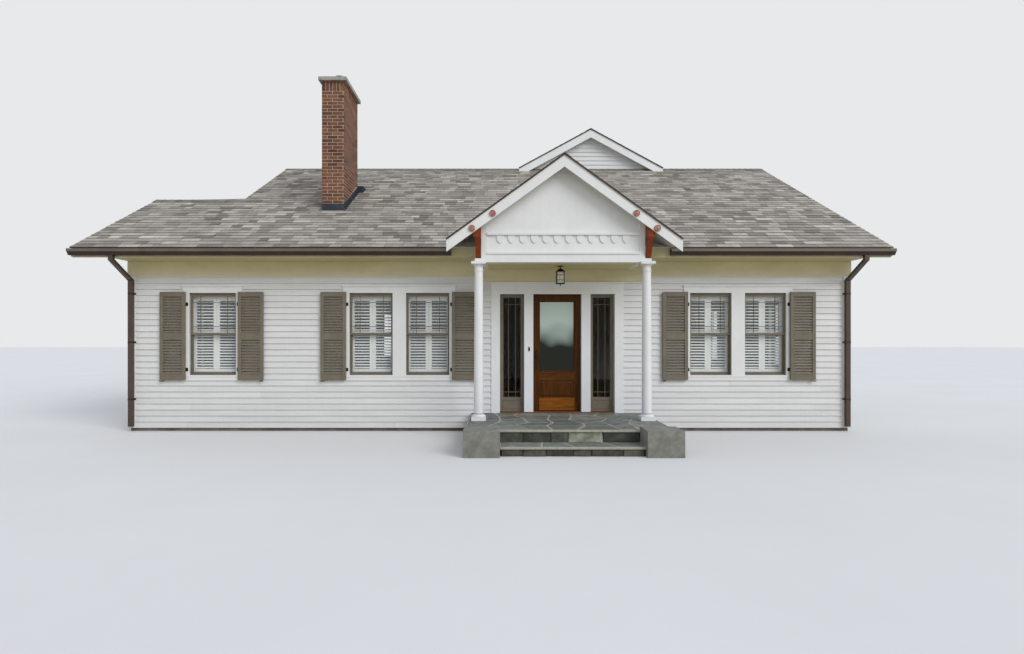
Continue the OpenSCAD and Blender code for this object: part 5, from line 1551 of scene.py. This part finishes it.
    def lantern(self) -> None:
        """Makes the lantern's finial, candle sleeve, bulb and cross bars."""
        x, y, foot = PLAN.entry_x, self.lantern_y, self.lantern_z
        metal, sleeve = Mesh(), Mesh()
        finial = ((0, -0.050), (0.006, -0.046), (0.009, -0.038), (0.005, -0.030), (0.012, -0.022),
                  (0.020, -0.014), (0.020, -0.012), (0, -0.012))
        metal.turned(finial, (x, y, foot), sides=20)
        out, wire = self.lantern_half, self.lantern_wire
        inside = out - wire
        for z in self.lantern_rings:
            for x0, y0, x1, y1 in ((-out, -out, out, -inside), (-out, inside, out, out),
                                   (-out, -inside, -inside, inside), (inside, -inside, out, inside)):
                metal.boxes((x + x0, y + y0, foot + z), (x + x1, y + y1, foot + z + wire))
        metal.build("lantern_details", IRON, "black_metal", outward=True)
        candle = ((0, 0), (0.026, 0), (0.024, 0.006), (0.011, 0.010), (0.011, 0.075), (0.013, 0.082),
                  (0.017, 0.098), (0.014, 0.118), (0.005, 0.136), (0, 0.140))
        sleeve.turned(candle, (x, y, foot), sides=20)
        sleeve.build("lantern_candle", CANDLE, "white_trim", smooth=True, outward=True)

    def build(self) -> None:
        """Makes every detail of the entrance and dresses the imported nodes."""
        for make in (self.door, self.sidelights, self.bell, self.lantern):
            make()
        dress(DOOR, "front_door")
        dress(DOOR_GLASS_REFLECTION, "door_glass")
        dress(IRON, "door_handle", "lantern")
        dress(TAUPE, "sidelights")
        dress(TRIM, "entry_posts", "entry_casing")
        dress(THRESHOLD, "threshold")
        dress(GLASS, "lantern_glass")


# Porch

@dataclass
class Porch:
    """Ceiling boards, rosette faces and drip edges of the porch, and its finishes."""
    inner: float = 1.21
    ceiling_z: float = 2.85
    back: float = 0.79
    board: float = 0.083
    bead: float = 0.006
    edge: float = 0.026
    edge_t: float = 0.003
    rosette_x: Pair = (1.45, 1.125)
    rosette_y: float = -1.158
    rosette_drop: float = 0.132

    def ceiling(self) -> None:
        """Makes narrow boards that run along the front, each with bevelled edges."""
        mesh = Mesh()
        count = round(self.back / self.board)
        width = self.back / count
        y = -self.back + np.arange(count) * width
        x0, x1 = PLAN.entry_x - self.inner, PLAN.entry_x + self.inner
        top, low, c = self.ceiling_z, self.ceiling_z - self.bead, 0.005
        rng = np.random.default_rng(SEED + 3)
        ring = [(y + 0.0005, top), (y + width - 0.0005, top), (y + width - c, low), (y + c, low)]
        solid = np.stack([np.stack([np.full(count, x), v, np.full(count, z)], -1)
                          for x in (x0, x1) for v, z in ring], 1)
        mesh.solids(solid, rng.uniform(0.2, 0.8, count))
        mesh.build("porch_ceiling_boards", CEILING, "white_trim")

    def drip_edges(self) -> None:
        """Makes the dark metal edges under the shingles at the porch's and the attic's gables.

        Each is a strip as high as its drop, that runs from the eave up to the ridge and down again
        in the plane of the roof covering's edge.
        """
        p, mesh, over, under = PLAN, Mesh(), 0.004, self.edge
        half, front = p.attic_half + p.attic_reach, p.main_d / 2 - p.attic_reach
        attic = (p.attic_x, p.attic_apex, p.attic_pitch, half)
        edges = ((p.entry_x, p.porch_apex, p.porch_pitch, p.porch_half, -p.porch_front, -1, 0.0),
                 (*attic, front - 0.015, -1, p.roof_z(front)),
                 (*attic, p.attic_y + p.attic_reach + 0.015, 1, 0.0))
        for x, apex, pitch, half, y, out, floor in edges:
            reach = min(half, (apex - floor - self.edge) / pitch)
            for side in (-1, 1):
                ends = ((x, apex), (x + side * reach, apex - pitch * reach))
                mesh.solids([(a, y + out * b, z + rise) for a, z in ends
                             for b, rise in ((0.0, over), (self.edge_t, over), (self.edge_t, -under),
                                             (0.0, -under))])
        mesh.build("roof_drip_edges", GUTTER, "brown_metal")

    def rosettes(self) -> None:
        """Makes the dished faces of the four rosettes: a raised rim round a low dome."""
        p, mesh = PLAN, Mesh()
        face = np.array([[0, 0.0], [0.0498, 0.0], [0.0498, 0.006], [0.046, 0.010], [0.041, 0.010],
                         [0.036, 0.004], [0.022, 0.009], [0, 0.011]])
        for x in self.rosette_x:
            for side in (-1, 1):
                height = p.porch_apex - p.porch_pitch * x - self.rosette_drop
                mesh.turned(face * [1, -1], (p.entry_x + side * x, self.rosette_y, height), axis=1,
                            sides=28)
        mesh.build("porch_rosette_faces", ROSETTE, "stained_wood", smooth=True, outward=True)

    def build(self) -> None:
        """Makes the porch's details and dresses its nodes."""
        self.ceiling()
        self.rosettes()
        self.drip_edges()
        dress(TRIM, "porch_column_left", "porch_column_right", "porch_beam", "porch_gable_wall",
              "porch_frieze", "porch_rake_boards")
        dress(SIDING, "porch_side_walls")
        dress(CEILING, "porch_ceiling")
        dress(BRACKET, "porch_brackets")
        dress(WALL, "porch_roof")


# Stone landing

@dataclass
class Stonework:
    """Bluestone paving on a pale bed, rough riser stones and the mortar between them.

    Lengths are the shortest and the longest stone and the least end piece, as shares of a usual
    stone. The sunlit tint is beyond the usual 0 to 1, which lifts that one stone well out of the rest:
    painted light, the sunlit part of the landing's front between shaded stones.
    """
    joint: float = 0.022
    skin: float = 0.022
    nosing: float = 0.018
    bed_t: float = 0.040
    step_d: float = 0.35
    step_h: float = 0.14
    grid_play: float = 0.3
    joint_share: float = 0.7
    edge_draw: float = 0.006
    flag_t: float = 0.02
    flag_drop: float = 0.003
    lengths: Triple = (0.6, 1.5, 0.4)
    wobble: float = 0.008
    face_share: float = 0.965
    sunlit_tint: float = 5.0
    course_h: float = 0.14
    rng: np.random.Generator = field(default_factory=lambda: np.random.default_rng(SEED + 4))

    def paving(self, mesh: Mesh, x0: float, x1: float, y0: float, y1: float, top: float,
               size: Pair) -> None:
        """Lays irregular flagstones between two corners.

        A grid's inner corners are moved at random, each cell is drawn in towards its middle by
        half a joint, and its top is drawn in a little more, which rounds the stone's edge.

        Args:
            mesh: what the stones go into.
            x0, x1, y0, y1: the paved rectangle.
            top: height of the highest stones.
            size: usual length and width of a stone.
        """
        nx, ny = max(1, round((x1 - x0) / size[0])), max(1, round((y1 - y0) / size[1]))
        u, v = np.meshgrid(np.linspace(x0, x1, nx + 1), np.linspace(y0, y1, ny + 1), indexing="ij")
        du, dv = self.rng.uniform(-self.grid_play, self.grid_play, (2, nx + 1, ny + 1))
        du[[0, -1]] = 0
        dv[:, [0, -1]] = 0
        dv[[0, -1]] *= 0.6
        u, v = u + du * (x1 - x0) / nx, v + dv * (y1 - y0) / ny
        cells = np.stack([np.stack([w[:-1, :-1], w[1:, :-1], w[1:, 1:], w[:-1, 1:]], -1)
                          for w in (u, v)], -1).reshape(-1, 4, 2)
        middle = cells.mean(1, keepdims=True)
        away, draw = cells - middle, self.joint * self.joint_share
        reach = np.linalg.norm(away, axis=-1, keepdims=True)
        lower, upper = (middle + away * (1 - d / reach) for d in (draw, draw + self.edge_draw))
        drop = self.rng.uniform(0, self.flag_drop, (len(cells), 1))
        base = np.concatenate([lower, np.full((len(cells), 4, 1), top - self.flag_t)], -1)
        head = np.concatenate([upper, np.broadcast_to((top - drop)[:, :, None], (len(cells), 4, 1))], -1)
        mesh.solids(np.concatenate([base, head], 1), self.rng.uniform(0, 1, len(cells)))

    def facing(self, mesh: Mesh, length: float, z0: float, z1: float, rows: int, to_house,
               size: float = 0.34, pale: Pair | None = None) -> None:
        """Faces an upright side with rough stones: courses of random lengths with uneven corners.

        Args:
            mesh: what the stones go into.
            length: the side's length.
            z0, z1: its lowest and highest level.
            rows: number of courses.
            to_house: turns (distance along, stand, height) into house coordinates.
            size: usual length of a stone.
            pale: start and end of the one stone painted pale as the sunlit patch of the riser, if there
                is one.
        """
        marks_z = np.linspace(z0, z1, rows + 1)
        short, long, least = (size * share for share in self.lengths)
        for k in range(rows):
            cuts = np.cumsum(self.rng.uniform(short, long, int(length / short) + 2))
            if pale:
                cuts = cuts[(cuts < pale[0] - least) | (cuts > pale[1] + least)]
                cuts = np.sort(np.concatenate([cuts, pale]))
            cuts = np.concatenate([[0], cuts[cuts < length - least], [length]])
            n = len(cuts) - 1
            wob = self.rng.uniform(-self.wobble, self.wobble, (n, 4, 2))
            wob[0, [0, 3], 0] = 0
            wob[-1, [1, 2], 0] = 0
            a, b = cuts[:-1] + self.joint / 4, cuts[1:] - self.joint / 4
            a[0], b[-1] = 0, length
            low = marks_z[k] + (self.joint / 4 if k else 0)
            high = marks_z[k + 1] - (self.joint / 4 if k < rows - 1 else 0)
            flat = np.stack([np.stack([u, np.full(n, z)], -1)
                             for u, z in ((a, low), (b, low), (b, high), (a, high))], 1)
            flat = flat + wob
            flat[..., 1] = np.clip(flat[..., 1], z0, z1)
            middle = flat.mean(1, keepdims=True)
            inner = middle + (flat - middle) * self.face_share
            stand = -self.rng.uniform(0.0, self.wobble, (n, 4))
            tone = self.rng.uniform(0, 1, n)
            # Painted light: the stone at the pale mark is lifted far above the rest, as the sunlit patch
            # of the riser.
            if pale:
                tone = np.where(np.abs(cuts[:-1] - pale[0]) < 1e-6, self.sunlit_tint, tone)
            back = np.stack(to_house(flat[..., 0], np.full((n, 4), -self.skin), flat[..., 1]), -1)
            face = np.stack(to_house(inner[..., 0], stand, inner[..., 1]), -1)
            mesh.solids(np.concatenate([back, face], 1), tone)

    def terrace(self, meshes: tuple[Mesh, Mesh, Mesh, Mesh], low: Pair,
                high: Pair, top: float, foot: float, size: Pair,
                pale: Pair | None = None) -> None:
        """Builds one paved level: a dark core, a pale bed that shows under the flags, and its faces.

        Args:
            meshes: the core, the bed, the flagstones and the riser stones.
            low, high: its corners (x, y) in plan.
            top: its height.
            foot: lowest level of the stones on its front.
            size: usual length and width of a flagstone.
            pale: start and end of the one stone on its front painted pale as the sunlit patch, measured
                along it.
        """
        core, bed, flags, risers = meshes
        (x0, y0), (x1, y1) = low, high
        under = top - self.bed_t
        inset = self.nosing + self.skin
        core.boxes((x0 + inset, y0 + inset, 0.0), (x1 - inset, y1, under))
        bed.boxes((x0, y0, under), (x1, y1, top - 0.005))
        self.paving(flags, x0, x1, y0, y1, top, size)
        front = y0 + self.nosing
        self.facing(risers, x1 - x0 - 2 * self.nosing, foot, under, 1,
                    lambda u, s, z: (x0 + self.nosing + u, front - s, z), 0.36, pale)
        rows = max(1, round(under / self.course_h))
        for x, out in ((x0 + self.nosing, -1), (x1 - self.nosing, 1)):
            self.facing(risers, y1 - front, 0.0, under, rows,
                        lambda u, s, z, x=x, out=out: (x + out * s, front + u, z))

    def build(self) -> None:
        """Makes the landing and the lower step in place of their plain solids."""
        p = PLAN
        meshes = Mesh(), Mesh(), Mesh(), Mesh()
        core, bed, flags, risers = meshes
        half, inner, x = p.landing_w / 2, p.landing_w / 2 - p.pedestal_w, p.entry_x
        self.terrace(meshes, (x - half, -p.landing_d), (x + half, 0.0), p.floor_z, self.step_h - 0.01,
                     (0.46, 0.34), (half - 0.05, half + 0.46))
        self.terrace(meshes, (x - inner, -p.landing_d - self.step_d),
                     (x + inner, -p.landing_d + self.nosing), self.step_h, 0.0, (0.5, 0.4))
        piece = bed.build("landing_bed", JOINT, "bluestone", bevel=0.004)
        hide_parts("landing", "lower_step")
        core.build("landing_core", BED, "bluestone")
        flags.build("landing_flagstones", BLUESTONE, "bluestone", bevel=0.003, outward=True)
        risers.build("landing_riser_stones", RISER, "bluestone", bevel=0.004, outward=True)
        dress(BLUESTONE, "landing", "lower_step")
        dress(BLOCK, "pedestals")


# Rainwater goods

@dataclass
class Rainwater:
    """Straps of the downspouts and rims of the gutters.

    The strap is its thickness, its height and the reach of its ears. The rim is its stand before
    the gutter's face, its reach behind and over it, and its height. The rim is a lighter strip: painted
    highlight, the light along the gutter's upper lip.
    """
    spout: Pair = (0.076, 0.060)
    stand: float = 0.025
    levels: tuple[float, ...] = (0.55, 1.55, 2.40)
    inset: float = 0.06
    strap: Triple = (0.0025, 0.032, 0.03)
    gutter_reach: float = 0.637
    gutter_z: float = 3.119
    rim: Triple = (0.003, 0.002, 0.046)

    def build(self) -> None:
        """Makes thin straps round each downspout and rims on the front gutters, and dresses both."""
        mesh, rim, p = Mesh(), Mesh(), PLAN
        w, d, (t, h, ear) = self.spout[0] / 2, self.spout[1], self.strap
        left, right = p.main_x0 + self.inset, p.main_x1 - self.inset
        for x, y, out in ((self.inset, 0.0, -1), (right, 0.0, -1), (left, p.main_d, 1),
                          (right, p.main_d, 1)):
            near, far = y + out * self.stand, y + out * (self.stand + d)
            for z in self.levels:
                mesh.boxes((x - w - t, far, z), (x + w + t, far + out * t, z + h))
                for s in (-1, 1):
                    mesh.boxes((x + s * w, near, z), (x + s * (w + t), far, z + h))
                    mesh.boxes((x + s * w, near, z), (x + s * (w + ear), near + out * t, z + h))
        mesh.build("downspout_straps", GUTTER, "brown_metal")
        front, top, half = -self.gutter_reach, self.gutter_z, p.porch_half - 0.025
        # Painted highlight: lighter strips along the front gutters' top stand in for the light on their
        # upper lip.
        out, back, high = self.rim
        for x0, x1 in ((-p.wing_rake, p.entry_x - half), (p.entry_x + half, p.main_x1 + p.rake)):
            rim.boxes((x0, front - out, top - high), (x1, front + back, top + back))
        rim.build("gutter_lips_painted_highlight", GUTTER_LIP_HIGHLIGHT, "brown_metal", bevel=0.001)
        dress(GUTTER, "gutters")
        dress(SPOUT_LIT, "downspouts")


@dataclass
class Shell:
    """Finishes of the walls, floor, foundation and timber trim."""

    def build(self) -> None:
        """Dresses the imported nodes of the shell."""
        dress(WALL, "front_wall_left", "front_wall_right", "front_wall_over_door", "right_gable_wall",
              "rear_wall", "left_gable_wall", "left_wall_over_wing", "wing_end_wall", "wing_rear_wall",
              "attic_gable_walls")
        dress(TRIM, "main_roof_front", "main_roof_rear", "wing_roof", "attic_gable_roof", "rake_boards",
              "corner_boards")
        dress(FOUNDATION, "foundation")
        dress(OAK, "floor")
        dress(SOFFIT, "eave_boards")


# Studio

@dataclass
class Studio:
    """Pale floor, soft light and the camera at the photograph's place."""
    focal_px: float = 567.0
    image_w: float = 1024.0
    shift_px: Pair = (12.0, 11.0)
    eye: Triple = (0.3075, -13.3885, 1.64)
    sensor: float = 36.0
    sky: float = 0.69
    sky_colour: Quad = (0.93, 0.975, 1.06, 1)
    backdrop: Quad = (0.80, 0.815, 0.83, 1)
    sun: float = 1.6
    sun_colour: Triple = (1.0, 0.985, 0.96)
    sun_width: float = 35
    sun_turn: Triple = (58, 0, 45)
    ground: Triple = (174, 166, 136)
    floor_half: float = 90.0
    floor_z: float = -0.001

    def camera(self) -> None:
        """A level camera square to the front, with the focal length and shift of the photograph."""
        data = bpy.data.cameras.new("camera")
        data.sensor_width = self.sensor
        data.lens = self.focal_px / self.image_w * self.sensor
        data.shift_x, data.shift_y = (s / self.image_w for s in self.shift_px)
        camera = bpy.data.objects.new("camera", data)
        camera.location = self.eye
        camera.rotation_euler = (math.pi / 2, 0, 0)
        bpy.context.scene.collection.objects.link(camera)
        bpy.context.scene.camera = camera

    def floor(self) -> None:
        """A wide pale floor with a faint mottle."""
        size, z = self.floor_half, self.floor_z
        data = bpy.data.meshes.new("studio_floor")
        data.from_pydata([(-size, -size, z), (size, -size, z), (size, size, z), (-size, size, z)], [],
                         [(0, 1, 2, 3)])
        floor = bpy.data.objects.new("studio_floor", data)
        bpy.context.scene.collection.objects.link(floor)
        data.materials.append(self.floor_paint())

    def floor_paint(self) -> bpy.types.Material:
        """Pale paint where it is seen, and the brown of bare ground in the light that it throws up."""
        material = Finish("studio_floor_paint", (226, 227, 228), (223, 224, 225), (0.8, 0.9),
                          scale=0.4, speckle=0.004, bump=0.02).material()
        n = Nodes(material.node_tree)
        colour = material.node_tree.nodes["Principled BSDF"].inputs["Base Color"]
        n.feed(colour, n.mixed(n.seen(), srgb(*self.ground), colour.links[0].from_socket))
        return material

    def lights(self) -> None:
        """A soft sun from the right above the camera, and an even sky that shows as a pale backdrop."""
        world = bpy.data.worlds.new("studio")
        world.use_nodes = True
        bpy.context.scene.world = world
        n = Nodes(world.node_tree)
        shown = n.add("Background", {"Color": self.backdrop, "Strength": 1.0})
        lit = n.add("Background", {"Color": self.sky_colour, "Strength": self.sky})
        mix = n.add("MixShader", {0: n.seen(), 1: lit.outputs[0], 2: shown.outputs[0]})
        n.feed(world.node_tree.nodes["World Output"].inputs["Surface"], mix.outputs[0])
        data = bpy.data.lights.new("sun", "SUN")
        data.energy, data.angle, data.color = self.sun, math.radians(self.sun_width), self.sun_colour
        sun = bpy.data.objects.new("sun", data)
        sun.rotation_euler = [math.radians(turn) for turn in self.sun_turn]
        bpy.context.scene.collection.objects.link(sun)

    def build(self) -> None:
        """Sets the stage."""
        self.camera()
        self.floor()
        self.lights()
        bpy.context.scene.view_settings.view_transform = "Standard"


def main() -> None:
    """Builds every sub-assembly in order."""
    logging.basicConfig(level=logging.INFO, format="%(message)s")
    for part in (Shell(), LapSiding(), Roofing(), BrickStack(), Windows(), Entrance(), Porch(),
                 Stonework(), Rainwater(), Studio()):
        LOG.info("building %s", type(part).__name__)
        part.build()
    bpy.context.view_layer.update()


if __name__ == "__main__":
    main()
